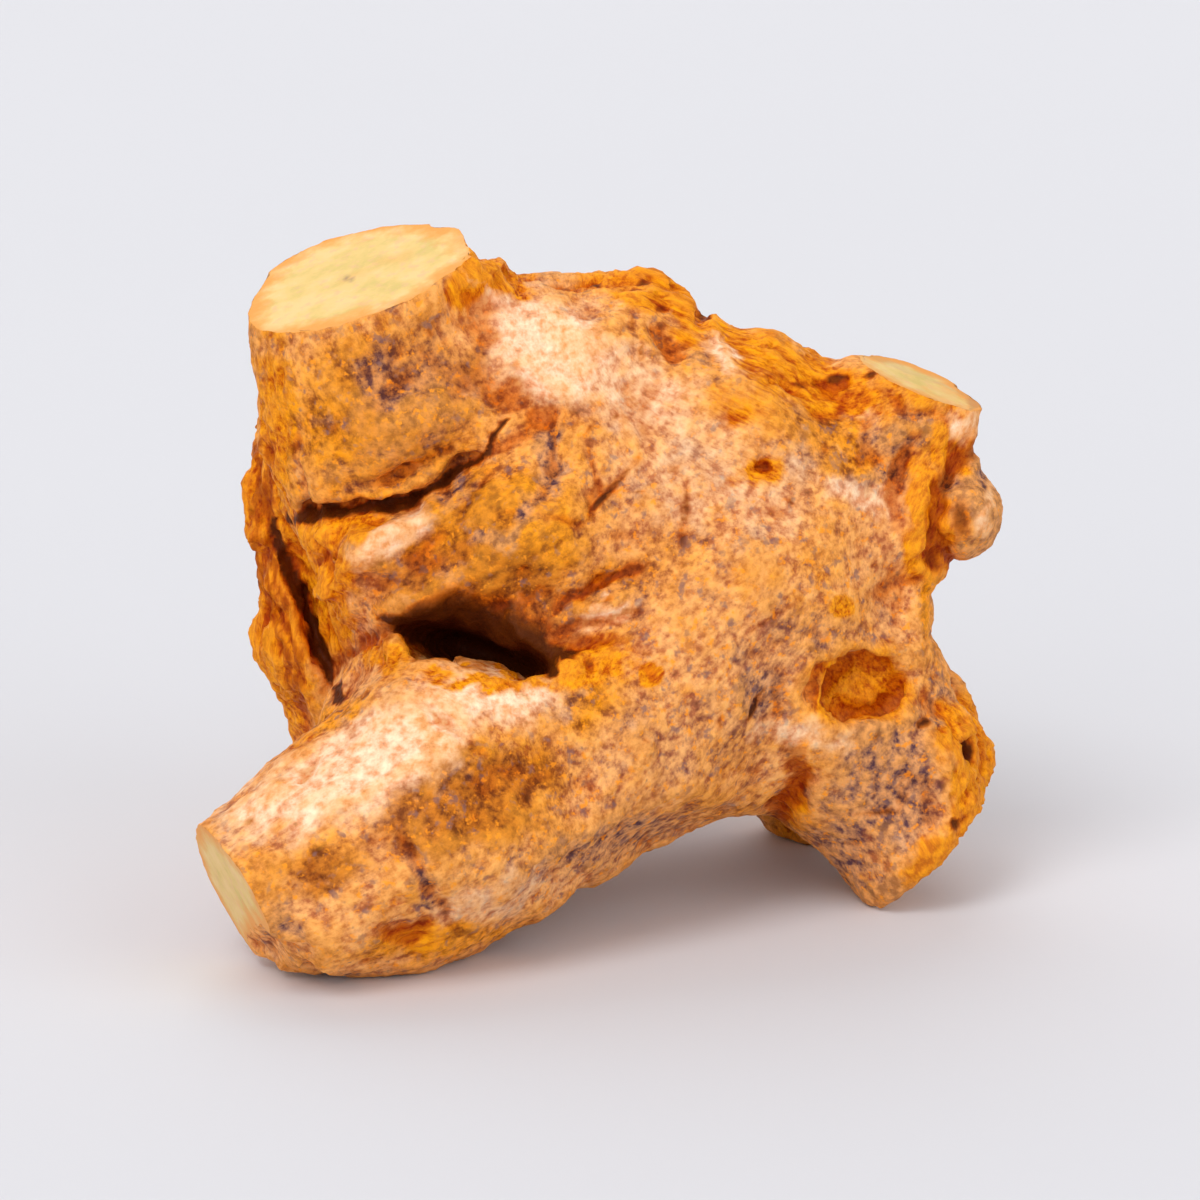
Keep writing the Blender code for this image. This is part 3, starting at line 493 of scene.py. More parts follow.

# Soft-edged patches of each finish in the front look: across, above, half sizes, turn in degrees and
# strength. Two finishes are partly painted light: rubbed lays painted highlights, and
# shaded lays painted shade.

PATCHES = {
    "golden": [
        (-5.8, 3.1, 6.2, 4.4, 15, 1.0), (-17.2, 9.3, 1.4, 5.5, 0, 1.0), (-11.6, 9.6, 5.4, 5.6, 0, 0.9),
        (-5.8, -10.3, 4.8, 2.6, 25, 0.9), (-8.5, -18.3, 5.5, 0.9, 10, 0.8),
        (-14.8, -14.0, 2.4, 1.6, 15, 0.6), (17.9, -0.4, 1.3, 2.8, 0, 0.9), (9.9, -12.0, 1.3, 2.2, 0, 0.8),
        (0.2, 0.7, 2.6, 1.2, 25, 0.7), (-1.1, -5.0, 2.4, 2.2, 0, 0.8), (4.0, 13.0, 4.5, 1.8, -20, 0.5),
        (12.0, 8.4, 4.0, 2.0, -20, 0.7), (16.8, 8.6, 2.6, 2.4, 0, 0.6), (20.6, -6.5, 1.0, 3.0, 10, 0.8),
        (-14.2, -6.4, 2.0, 0.8, 38, 0.9),
    ],
    "cork": [
        (-10.4, 10.9, 4.0, 4.0, 0, 0.48), (-2.7, 7.5, 0.9, 2.1, 0, 1.0), (-5.6, 3.3, 1.5, 0.7, 15, 1.0),
        (-3.8, 4.6, 1.4, 0.7, 50, 0.7), (-8.0, 5.6, 1.6, 0.6, 30, 0.6), (20.4, 4.5, 2.2, 2.8, 10, 1.5),
        (15.2, -9.4, 3.0, 4.2, 15, 0.95), (13.0, -12.4, 2.2, 2.2, 0, 0.8),
        (14.2, -15.0, 2.6, 1.1, -15, 0.8), (18.3, -5.8, 1.2, 2.4, -20, 0.6),
        (8.5, -4.9, 1.4, 1.6, -30, 0.95), (10.8, -2.0, 4.4, 2.8, 0, 0.40), (3.6, -7.4, 6.0, 3.4, 10, 0.36),
        (15.8, 8.9, 2.0, 1.2, 20, 0.85), (14.5, 6.6, 1.8, 0.8, 20, 0.85), (-17.0, -16.9, 0.9, 1.4, 0, 0.9),
        (-9.3, -15.2, 0.7, 2.3, 28, 0.9), (0.2, -12.8, 5.4, 1.4, 18, 0.65),
        (-4.0, -14.6, 3.6, 1.2, 25, 0.5),
    ],
    # Rubbed, polished heights, and painted highlights where light falls on the shoulder, the top of the
    # lower stub and the ridge below the crack
    "rubbed": [
        (-2.8, 13.4, 4.2, 2.7, -35, 1.0), (1.5, 11.1, 5.4, 2.4, -25, 0.6), (-5.8, 16.9, 1.4, 1.5, 0, 0.8),
        (-12.5, -8.6, 8.0, 2.4, 28, 1.0), (-17.8, -11.3, 2.2, 1.7, 40, 0.8),
        (-5.8, -5.0, 3.8, 1.6, -8, 1.0), (-11.4, 3.1, 2.6, 0.9, 30, 0.9), (6.5, 6.8, 7.0, 3.6, -10, 0.35),
        (13.9, 5.6, 2.4, 0.9, -15, 0.65), (0.6, -0.8, 1.8, 0.4, 20, 0.9), (10.9, -7.2, 2.6, 0.7, -10, 0.7),
        (19.6, 9.3, 0.8, 1.8, 0, 0.8), (20.8, 4.9, 0.5, 1.2, 0, 0.7), (13.6, 10.2, 1.6, 0.7, -15, 0.8),
        (6.6, 13.6, 0.7, 1.6, 25, 0.9), (-6.0, -16.0, 4.0, 1.0, 22, 0.4),
    ],
    "raw": [
        (2.2, 17.0, 3.8, 1.5, -5, 1.0), (5.4, 15.4, 1.6, 1.9, -50, 1.0), (-5.6, 17.6, 2.2, 1.1, -30, 1.2),
        (9.9, 13.0, 5.4, 1.0, -22, 1.0), (11.8, 11.3, 4.4, 1.6, -15, 1.0), (7.8, 10.2, 2.4, 1.2, -20, 0.6),
        (17.2, 11.2, 3.0, 1.2, -20, 0.7), (17.6, 4.7, 0.9, 3.2, 10, 1.0), (17.6, 2.4, 1.6, 1.6, 0, 1.0),
        (18.6, 8.0, 1.0, 1.3, 0, 0.9), (-14.9, 0.7, 1.6, 4.0, 15, 1.0), (-17.4, 9.4, 1.0, 5.2, 0, 0.75),
        (-14.0, 4.0, 2.8, 0.9, 5, 0.9), (-11.2, -2.7, 2.0, 1.0, 20, 1.0), (-5.8, -4.3, 4.4, 0.5, -6, 0.9),
        (-0.7, -3.3, 2.4, 1.4, 10, 1.0), (-17.6, 0.4, 2.2, 8.4, 10, 1.2), (13.9, -4.7, 2.9, 2.1, 12, 1.0),
        (20.3, -10.0, 1.6, 4.6, -5, 1.4), (19.5, -7.6, 1.4, 2.4, 10, 1.3),
        (18.0, -13.8, 2.2, 1.1, 45, 1.0), (-10.3, -17.9, 1.5, 1.0, 0, 0.9),
        (10.2, -10.7, 0.9, 1.9, -10, 0.8), (12.9, -0.3, 0.75, 0.75, 0, 1.0),
        (2.7, -3.9, 0.75, 0.75, 0, 1.0), (8.7, 6.9, 1.4, 0.9, 0, 0.9), (-7.2, 16.4, 0.8, 1.6, 0, 0.8),
        (-0.4, 0.6, 2.2, 0.4, 25, 0.5),
    ],
    # Painted shade: brown that stands for the shade under the bulge over the cleft, on the lower stub's
    # front, under the shoulder and on the flap behind its gap, with some of the bark's own brown, as on
    # the upper stub
    "shaded": [
        (-7.2, -10.8, 5.0, 2.8, 25, 1.3), (-14.6, -14.4, 3.0, 1.4, 15, 0.8),
        (-7.2, 12.0, 1.6, 1.4, -30, 0.8), (-9.8, 14.6, 2.2, 0.9, 15, 0.6),
        (-10.8, 10.4, 4.6, 4.2, 0, 0.95), (-6.4, 0.2, 5.6, 3.2, -12, 1.4), (-7.0, 4.2, 3.6, 2.4, 20, 0.7),
        (0.6, 5.2, 2.6, 3.0, 0, 0.4), (8.0, -11.8, 5.0, 1.2, -15, 0.5), (-17.6, -1.0, 1.6, 7.4, 10, 1.0),
        (17.8, 3.0, 0.8, 2.4, 5, 0.7),
    ],
}

# Each finish also lies in cloudy areas: their size, the noise values between which they fade in, and
# their strength where the front look ends and in the front look.
CLOUDS = {
    "golden": (5.0, -0.25, 0.55, 0.75, 0.4),
    "cork": (3.0, -0.10, 0.50, 0.95, 0.4),
    "rubbed": (5.5, -0.15, 0.60, 0.75, 0.1),
    "raw": (3.6, 0.10, 0.75, 0.85, 0.35),
    "shaded": (4.5, -0.20, 0.50, 1.0, 0.4),
}

# Which way the fibres of the root run: a place, and their direction there
FIBRES = (
    ((-18.0, -1.0, 20.0), (0.04, 0.05, 1.0)),
    ((9.0, 4.0, 29.0), (0.85, 0.10, -0.52)),
    ((-12.7, 1.3, 30.0), (-0.30, -0.19, 0.93)),
    ((-13.0, -12.0, 8.0), (-0.855, -0.33, -0.40)),
    ((17.0, -3.0, 8.0), (0.45, -0.25, -0.85)),
    ((-7.0, -7.0, 19.0), (0.80, -0.20, 0.45)),
    ((4.0, -7.0, 15.0), (0.80, 0.10, 0.50)),
    ((19.0, 3.0, 19.0), (0.10, 0.10, 1.0)),
    ((11.0, 14.0, 20.0), (0.35, 0.86, 0.36)),
    ((-5.0, 13.0, 12.0), (0.10, 0.20, 1.0)),
)

# Cut ends: a point on the cut, the way it faces, and how far its face reaches
CUTS = {
    "upper_stub": ((-12.73, 1.3, 34.5), (-0.30, -0.19, 0.93), 7.1),
    "lower_stub": ((-18.43, -14.9, 4.4), (-0.855, -0.33, -0.40), 7.5),
    "right_stub": ((17.47, 4.3, 27.8), (0.37, 0.0, 0.93), 3.9),
    "back_stub": ((10.97, 16.7, 20.9), (0.35, 0.86, 0.36), 6.5),
}


def read_skin(piece):
    """The mesh's points in millimetres, their normals, and a tree for finding points on it."""
    mesh = piece.data
    points = np.zeros(len(mesh.vertices) * 3)
    mesh.vertices.foreach_get("co", points)
    points = points.reshape(-1, 3) / MM
    normals = np.zeros(len(mesh.vertices) * 3)
    mesh.vertex_normals.foreach_get("vector", normals)
    polygons = [tuple(face.vertices) for face in mesh.polygons]
    tree = BVHTree.FromPolygons([tuple(point) for point in points], polygons)
    return points, normals.reshape(-1, 3), tree


def write_skin(piece, points):
    """Puts moved points back into the mesh, none of them below the table."""
    points[:, 2] = np.maximum(points[:, 2], TABLE_GAP)
    piece.data.vertices.foreach_set("co", (points * MM).astype(np.float32).ravel())
    piece.data.update()


def write_values(piece, name, values):
    """Keeps one number for each point of the mesh, for its material to read."""
    mesh = piece.data
    layer = mesh.attributes.get(name) or mesh.attributes.new(name, "FLOAT", "POINT")
    layer.data.foreach_set("value", values.astype(np.float32))


def read_values(piece, name):
    """The numbers that were kept for each point of the mesh."""
    values = np.zeros(len(piece.data.vertices), dtype=np.float32)
    piece.data.attributes[name].data.foreach_get("value", values)
    return values.astype(float)


def neighbours_mean(mesh):
    """A function that averages values of the points over their neighbours."""
    count = len(mesh.vertices)
    edges = np.zeros(len(mesh.edges) * 2, dtype=np.int32)
    mesh.edges.foreach_get("vertices", edges)
    first, second = edges.reshape(-1, 2).T
    share = np.maximum(np.bincount(first, minlength=count) + np.bincount(second, minlength=count), 1)

    def mean(values):
        columns = values.reshape(count, -1)
        total = np.zeros(columns.shape)
        for column in range(columns.shape[1]):
            total[:, column] += np.bincount(first, columns[second, column], count)
            total[:, column] += np.bincount(second, columns[first, column], count)
        return (total / share[:, None]).reshape(values.shape)

    return mean


def smooth_step(low, high, values):
    """0 below low, 1 above high, and a smooth rise between them."""
    share = np.clip((values - low) / (high - low), 0, 1)
    return share * share * (3 - 2 * share)


def turned(gap, degrees, half_wide, half_high):
    """Flat places measured along the turned axes of an ellipse, as shares of its half sizes."""
    turn = math.radians(degrees)
    wide = (gap[:, 0] * math.cos(turn) + gap[:, 1] * math.sin(turn)) / half_wide
    high = (gap[:, 1] * math.cos(turn) - gap[:, 0] * math.sin(turn)) / half_high
    return np.hypot(wide, high)


def wander(points, size):
    """A smooth random shift for each point, a millimetre at most, that changes over this size."""
    return np.array([noise.noise_vector(Vector(point) / size) for point in points])


def stroke_reach(stroke, points, normals, tree, bends, over=0.8):
    """How much a stroke acts on each point, from 0 to 1, and its depth there."""
    look = stroke.look
    places = look.flat(points + bends)
    path = np.array([step[:2] for step in stroke.path])
    sizes = np.array([step[2:] for step in stroke.path])
    skin = np.array([look.seen(tree, step) for step in stroke.path])
    nearest = np.full(len(points), 1e9)
    side = np.zeros(len(points))
    found = np.ones((len(points), 2))
    depth_away = np.zeros(len(points))
    for number in range(len(path) - 1):
        start, step = path[number], path[number + 1] - path[number]
        share = np.clip((places - start) @ step / (step @ step), 0, 1)
        gap = places - start - share[:, None] * step
        distance = np.linalg.norm(gap, axis=1)
        near = distance < nearest - TIE
        nearest[near] = distance[near]
        side[near] = (step[0] * gap[:, 1] - step[1] * gap[:, 0])[near]
        found[near] = (sizes[number] + share[:, None] * (sizes[number + 1] - sizes[number]))[near]
        on_skin = skin[number] + share[:, None] * (skin[number + 1] - skin[number])
        depth_away[near] = np.abs((points - on_skin) @ look.to_viewer)[near]
    width, depth = found.T
    reach = (1 - np.clip(nearest / width, 0, 1) ** 2) ** 2 * look.facing(normals, over)
    reach *= 1 - smooth_step(1.5 * width + 1.5, 1.5 * width + 3.0, depth_away)
    if stroke.side != "both":
        rightward = 1 if path[-1, 0] > path[0, 0] else -1
        upward = side * rightward * (1 if stroke.side == "above" else -1)
        reach *= smooth_step(-STROKE_EDGE, STROKE_EDGE, upward)
    return reach, depth


def stroke_push(stroke, points, normals, tree, bends):
    """How a stroke moves each point."""
    reach, depth = stroke_reach(stroke, points, normals, tree, bends)
    amount = (reach * depth)[:, None]
    if stroke.drift is None:
        return -normals * amount
    return (stroke.look.above * stroke.drift - stroke.look.to_viewer) * amount


def spot_reach(spot, points, normals, tree):
    """How much a spot presses each point in and how much it raises it as a rim, from 0 to 1."""
    look = spot.look
    middle = look.seen(tree, (spot.across, spot.above))
    gap = look.flat(points) - np.array((spot.across, spot.above))
    radius = turned(gap, spot.turn, spot.half_wide, spot.half_high)
    close = np.linalg.norm(points - middle, axis=1) < 3 + 1.6 * max(spot.half_wide, spot.half_high)
    near = np.nonzero((radius < 2.0) & close)[0]
    dent = np.zeros(len(points))
    ring = np.zeros(len(points))
    if len(near):
        ragged = np.array([noise.noise(Vector(points[at]) / RAGGED_SIZE) for at in near])
        away = radius[near] * (1 + RAGGED_SHARE * ragged)
        shown = look.facing(normals[near])
        dent[near] = (1 - smooth_step(spot.wall, 1.0, away)) * shown
        ring[near] = np.exp(-((away - RIM_RADIUS) / RIM_WIDTH) ** 2) * shown
    return dent, ring


def lengthening(place, facing, reach, points, normals):
    """How a stub grows past its cut, so that the cut leaves a crisp rim."""
    facing = np.array(facing) / np.linalg.norm(facing)
    gap = points - np.array(place)
    past = gap @ facing
    aside = np.linalg.norm(gap - past[:, None] * facing, axis=1)
    share = smooth_step(*GROWTH_FACING, normals @ facing) * (aside < reach * GROWTH_SHARE)
    share = share * smooth_step(*GROWTH_PAST, past)
    return facing * (share * CUT_LENGTHENING)[:, None]


def scattered_spots():
    """Small marks at random places, the same on every run."""
    pick = random.Random(SCATTER_SEED)
    spots = []
    for kind in SCATTERED.values():
        for _ in range(kind.count):
            look = Look(pick.uniform(*kind.azimuths), pick.uniform(*SCATTER_ELEVATIONS))
            size = pick.uniform(*kind.sizes)
            spots.append(Spot(
                look, pick.uniform(*SCATTER_PLACES), pick.uniform(*SCATTER_PLACES), size,
                size * kind.flatness, pick.uniform(*SCATTER_TURNS),
                kind.depth * pick.uniform(*SCATTER_DEPTHS), kind.wall, kind.rim, kind.dirt,
            ))
    return spots


def carve(piece, depth):
    """The large folds, cracks, lips, scars, warts and holes, and the stubs' growth past their cuts."""
    points, normals, tree = read_skin(piece)
    push = np.zeros(points.shape)
    bends = wander(points, BEND_SIZE) * BEND_SHIFT
    for stroke in STROKES.values():
        push += stroke_push(stroke, points, normals, tree, bends) * depth
    for spot in [*SPOTS.values(), *scattered_spots()]:
        dent, ring = spot_reach(spot, points, normals, tree)
        push -= normals * (dent * spot.depth - ring * spot.rim)[:, None] * depth
    for place, facing, reach in CUTS.values():
        push += lengthening(place, facing, reach, points, normals)
    write_skin(piece, points + push)


def paint(piece):
    """Where each finish lies, from its patches and clouds with ragged edges, and where painted shade and
    dirt lie.
    """
    points, normals, tree = read_skin(piece)
    spots = [Vector(point) for point in points]
    wide, narrow = EDGE_BENDS
    bends = np.array([
        noise.noise_vector(spot / wide) + noise.noise_vector(spot / narrow) * 0.5 for spot in spots
    ])
    places = [FRONT.flat(points + bends * shift) for shift in EDGE_SHIFTS]
    in_front = FRONT.facing(normals)
    shown = smooth_step(-0.35, 0.15, normals @ FRONT.to_viewer)
    for number, (name, patches) in enumerate(PATCHES.items()):
        size, low, high, behind, ahead = CLOUDS[name]
        shift = Vector((31, 17, 5)) * (number + 1)
        clouds = np.array([noise.fractal(spot / size + shift, 0.9, 2.1, 3) for spot in spots])
        values = (behind + (ahead - behind) * shown) * smooth_step(low, high, clouds)
        for across, above, half_wide, half_high, turn, strength in patches:
            small = max(half_wide, half_high) < SMALL_PATCH
            radius = turned(places[small] - np.array((across, above)), turn, half_wide, half_high)
            amount = strength * (1 - smooth_step(*EDGE_FADES[small], radius))
            values = np.maximum(values, amount * in_front)
        write_values(piece, name, values)
    # How dark each point is painted in cracks, holes and dents: painted shade, with some dirt
    dirt = np.zeros(len(points))
    bends = wander(points, BEND_SIZE) * BEND_SHIFT
    for stroke in STROKES.values():
        if stroke.dirt:
            reach = stroke_reach(stroke, points, normals, tree, bends, over=2.2)[0]
            dirt = np.maximum(dirt, stroke.dirt * smooth_step(0.1, 0.8, reach))
    for spot in [*SPOTS.values(), *scattered_spots()]:
        if spot.dirt:
            dirt = np.maximum(dirt, spot.dirt * spot_reach(spot, points, normals, tree)[0])
    write_values(piece, "dirt", dirt)


def stub_wrinkle(spot):
    """Height of the wrinkles that run along a stub at a point, in millimetres."""
    height = 0
    for place, facing, reach in CUTS.values():
        facing = Vector(facing).normalized()
        gap = spot - Vector(place)
        along = gap.dot(facing)
        if WRINKLES_FROM < along < WRINKLES_TO and (gap - facing * along).length < reach * 1.2:
            fade = min(1, (along - WRINKLES_FROM) / WRINKLE_FADE)
            drawn_out = (gap - facing * along * WRINKLE_STRETCH) / WRINKLE_SIZE
            height += fade * WRINKLE_HEIGHT * noise.noise(drawn_out)
    return height


def along_fibres(points):
    """The points, pressed together along the fibres, so that noise over them makes long strands."""
    total = np.zeros(points.shape)
    weights = np.zeros(len(points))
    for place, way in FIBRES:
        way = np.array(way) / np.linalg.norm(way)
        gap = points - np.array(place)
        weight = np.exp(-(gap ** 2).sum(axis=1) / (2 * FIBRE_REACH ** 2)) + 1e-9
        total += weight[:, None] * (points - (gap @ way * FIBRE_STRETCH)[:, None] * way)
        weights += weight
    return total / weights[:, None]


def roughen(piece, settings):
    """Crust, flakes, strands and pits of the bark, by the finish that lies there."""
    points, normals, _ = read_skin(piece)
    raw, cork, rubbed = (read_values(piece, name) for name in ("raw", "cork", "rubbed"))
    height = np.zeros(len(points))
    crusts = np.zeros(len(points))
    fibres = along_fibres(points)
    crust_height = settings.crust_height / MM
    strand_height = settings.strand_height / MM
    thick, thin = STRAND_SIZES
    for number, point in enumerate(points):
        spot = Vector(point)
        bend = noise.noise_vector(spot / 2.5)
        crust = noise.fractal((spot + bend) / CRUST_SIZE, 0.7, 2.2, 3)
        flake = 1 / (1 + math.exp(-FLAKE_EDGE * noise.noise((spot + bend) / FLAKE_SIZE))) - 0.5
        grit = noise.noise(spot / GRIT_SIZE)
        smoothing = 1 - RUBBED_SMOOTHING * max(rubbed[number], raw[number])
        crusts[number] = crust
        flaky = crust_height * (crust + FLAKE_SHARE * flake)
        height[number] = smoothing * (flaky + GRIT_SHARE * crust_height * grit)
        height[number] += SWELL_HEIGHT * noise.noise(spot / SWELL_SIZE) + stub_wrinkle(spot)
        if raw[number] > 0.05:
            along = Vector(fibres[number]) + bend * 0.15
            strand = noise.noise(along / thick) + 0.5 * noise.noise(along / thin)
            crumb = noise.fractal(spot / CRUMB_SIZE, 0.8, 2.2, 3)
            pit = max(0, noise.noise((spot + along) / PIT_SIZE + Vector((7, 3, 1))) - PIT_FROM)
            fibrous = strand_height * (1.2 * strand + 0.5 * crumb) - PIT_DEPTH * pit
            height[number] += raw[number] * fibrous
        if cork[number] > 0.05:
            height[number] += cork[number] * CORK_HEIGHT * noise.noise(spot / CORK_SIZE)
    write_values(piece, "crust", crusts)
    layer = piece.data.attributes.new("fibre", "FLOAT_VECTOR", "POINT")
    layer.data.foreach_set("vector", (fibres * MM).astype(np.float32).ravel())
    write_skin(piece, points + normals * height[:, None])


def select_only(piece):
    """Makes one object the only one selected, and the active one."""
    for other in bpy.context.selected_objects:
        other.select_set(False)
    piece.select_set(True)
    bpy.context.view_layer.objects.active = piece


def apply_modifier(piece, kind, **settings):
    """Adds a modifier with its settings and applies it."""
    select_only(piece)
    added = piece.modifiers.new(kind.lower(), kind)
    for name, value in settings.items():
        setattr(added, name, value)
    bpy.ops.object.modifier_apply(modifier=added.name)


def copy_of_node():
    """The CAD node's shape as a mesh of its own, with its loose triangles merged."""
    piece = bpy.data.objects.new(PIECE, frame["nodes"][NODE].data.copy())
    piece.data.name = PIECE
    piece.data.materials.clear()
    bpy.context.scene.collection.objects.link(piece)
    select_only(piece)
    bpy.ops.object.mode_set(mode="EDIT")
    bpy.ops.mesh.select_all(action="SELECT")
    bpy.ops.mesh.remove_doubles(threshold=0.01 * MM)
    bpy.ops.object.mode_set(mode="OBJECT")
    return piece


def remesh(piece, size, rounds):
    """Lays an even net of four-sided faces over the shape, and relaxes it."""
    apply_modifier(piece, "REMESH", mode="VOXEL", voxel_size=size)
    apply_modifier(piece, "SMOOTH", factor=0.5, iterations=rounds)


def drop_crumbs(piece):
    """Deletes everything that isn't linked to the root's highest point."""
    for part in (piece.data.vertices, piece.data.edges, piece.data.polygons):
        part.foreach_set("select", [False] * len(part))
    max(piece.data.vertices, key=lambda vert: vert.co.z).select = True
    select_only(piece)
    bpy.ops.object.mode_set(mode="EDIT")
    bpy.ops.mesh.select_linked()
    bpy.ops.mesh.select_all(action="INVERT")
    bpy.ops.mesh.delete(type="VERT")
    bpy.ops.object.mode_set(mode="OBJECT")


def flatten_cut(piece, cut):
    """Slices the skin along a cut, and lays all of the stub that is past it flat on the cut."""
    place, facing, reach = cut
    middle, facing = Vector(place), Vector(facing).normalized()

    def measured(spot):
        """How far a point lies past the cut, and how far from its middle line."""
        gap = spot / MM - middle
        past = gap.dot(facing)
        return past, (gap - facing * past).length

    for face in piece.data.polygons:
        past, aside = measured(face.center)
        face.select = aside < reach and abs(past) < CUT_REACH_PAST
    select_only(piece)
    bpy.ops.object.mode_set(mode="EDIT")
    bpy.ops.mesh.bisect(plane_co=middle * MM, plane_no=facing)
    bpy.ops.object.mode_set(mode="OBJECT")
    for vert in piece.data.vertices:
        past, aside = measured(vert.co)
        if aside < reach and 0 < past < CUT_REACH_PAST:
            vert.co -= facing * past * MM
    piece.data.update()


def lies_on_cut(spot, cut):
    """Whether a point in millimetres lies on the face of a cut."""
    place, facing, reach = cut
    gap = spot - Vector(place)
    return gap.length < reach and abs(gap.dot(Vector(facing).normalized())) < ON_CUT


def write_hollows(piece):
    """Keeps how hollow the skin is around each point, finely and broadly, from -1 to 1."""
    points, normals, _ = read_skin(piece)
    mean = neighbours_mean(piece.data)
    soft = points
    for name, (rounds, reach) in HOLLOWS.items():
        for _ in range(rounds):
            soft = mean(soft)
        hollow = ((soft - points) * normals).sum(axis=1) / reach
        write_values(piece, name, np.clip(mean(hollow), -1, 1))


def mark_flesh(piece):
    """Gives the cut faces the second material, and keeps how far their points lie from the bark."""
    verts = piece.data.vertices
    flesh = [any(lies_on_cut(vert.co / MM, cut) for cut in CUTS.values()) for vert in verts]
    for face in piece.data.polygons:
        face.use_smooth = True
        face.material_index = 1 if all(flesh[at] for at in face.vertices) else 0
    bark = KDTree(len(verts))
    for vert in verts:
        if not flesh[vert.index]:
            bark.insert(vert.co / MM, vert.index)
    bark.balance()
    rims = [bark.find(vert.co / MM)[2] if flesh[vert.index] else 0 for vert in verts]
    write_values(piece, "from_bark", np.array(rims))


def make_root(settings):
    """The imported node's shape, carved, laid over with a fine skin, painted and roughened."""
    noise.seed_set(NOISE_SEED)
    piece = copy_of_node()
    remesh(piece, CARVING_SIZE * MM, 5)
    carve(piece, settings.fold_depth)
    remesh(piece, settings.skin_size, 1)
    drop_crumbs(piece)
    paint(piece)
    roughen(piece, settings)
    for cut in CUTS.values():
        flatten_cut(piece, cut)
    write_hollows(piece)
    mark_flesh(piece)
    return piece


def add(tree, kind, inputs=None, stops=None, out=0, **settings):
    """Adds a node with its settings, its values and links, and the stops of its ramp."""
    made = tree.nodes.new("ShaderNode" + kind)
    for name, value in settings.items():
        setattr(made, name, value)
    for key, value in (inputs or {}).items():
        if isinstance(value, bpy.types.NodeSocket):
            tree.links.new(value, made.inputs[key])
        else:
            made.inputs[key].default_value = value
    if stops:
        ramp = made.color_ramp
        while len(ramp.elements) > 1:
            ramp.elements.remove(ramp.elements[-1])
        ramp.elements[0].position = stops[0][0]
        ramp.elements[0].color = (*stops[0][1], 1)
        for place, colour in stops[1:]:
            ramp.elements.new(place).color = (*colour, 1)
    return made.outputs[out] if len(made.outputs) else made


def new_material(name):
    """An empty material, with its shader and the places on the piece that its patterns follow."""
    made = bpy.data.materials.new(name)
    made.use_nodes = True
    tree = made.node_tree
    tree.nodes.clear()
    surface = add(tree, "BsdfPrincipled")
    add(tree, "OutputMaterial", {"Surface": surface})
    places = add(tree, "TexCoord", out="Object")
    return made, tree, surface.node, places


def lumps(size):
    """The scale of a noise whose lumps are about this many millimetres wide."""
    return 0.5 / (size * MM)


def tones(dark, light):
    """The stops of a ramp over noise, from a speck's colour to the ground between specks."""
    dark, light = np.array(dark), np.array(light)
    return [
        (0.27, tuple(dark * 0.6)), (0.39, tuple(dark)), (0.50, tuple(0.45 * dark + 0.55 * light)),
        (0.61, tuple(light)), (0.74, tuple(np.minimum(light * 1.14, 1))),
    ]


def add_freckles(tree, places, colour, settings):
    """Lays fine dots of two colours over the bark: grey cork, and orange where it has flaked off."""
    for seed, size, strength, tint in (
        (8, 0.30, 0.7, settings.cork_dot), (9, 0.24, 0.8, settings.bared_dot),
    ):
        dots = add(tree, "TexNoise", {
            "Vector": places, "W": seed, "Scale": lumps(size), "Detail": 2, "Roughness": 0.6,
        }, noise_dimensions="4D")
        share = add(tree, "MapRange", {0: dots, 1: 0.58, 2: 0.68, 3: 0, 4: strength})
        colour = add(tree, "Mix", {0: share, 6: colour, 7: (*tint, 1)}, out=2, data_type="RGBA")
    return colour


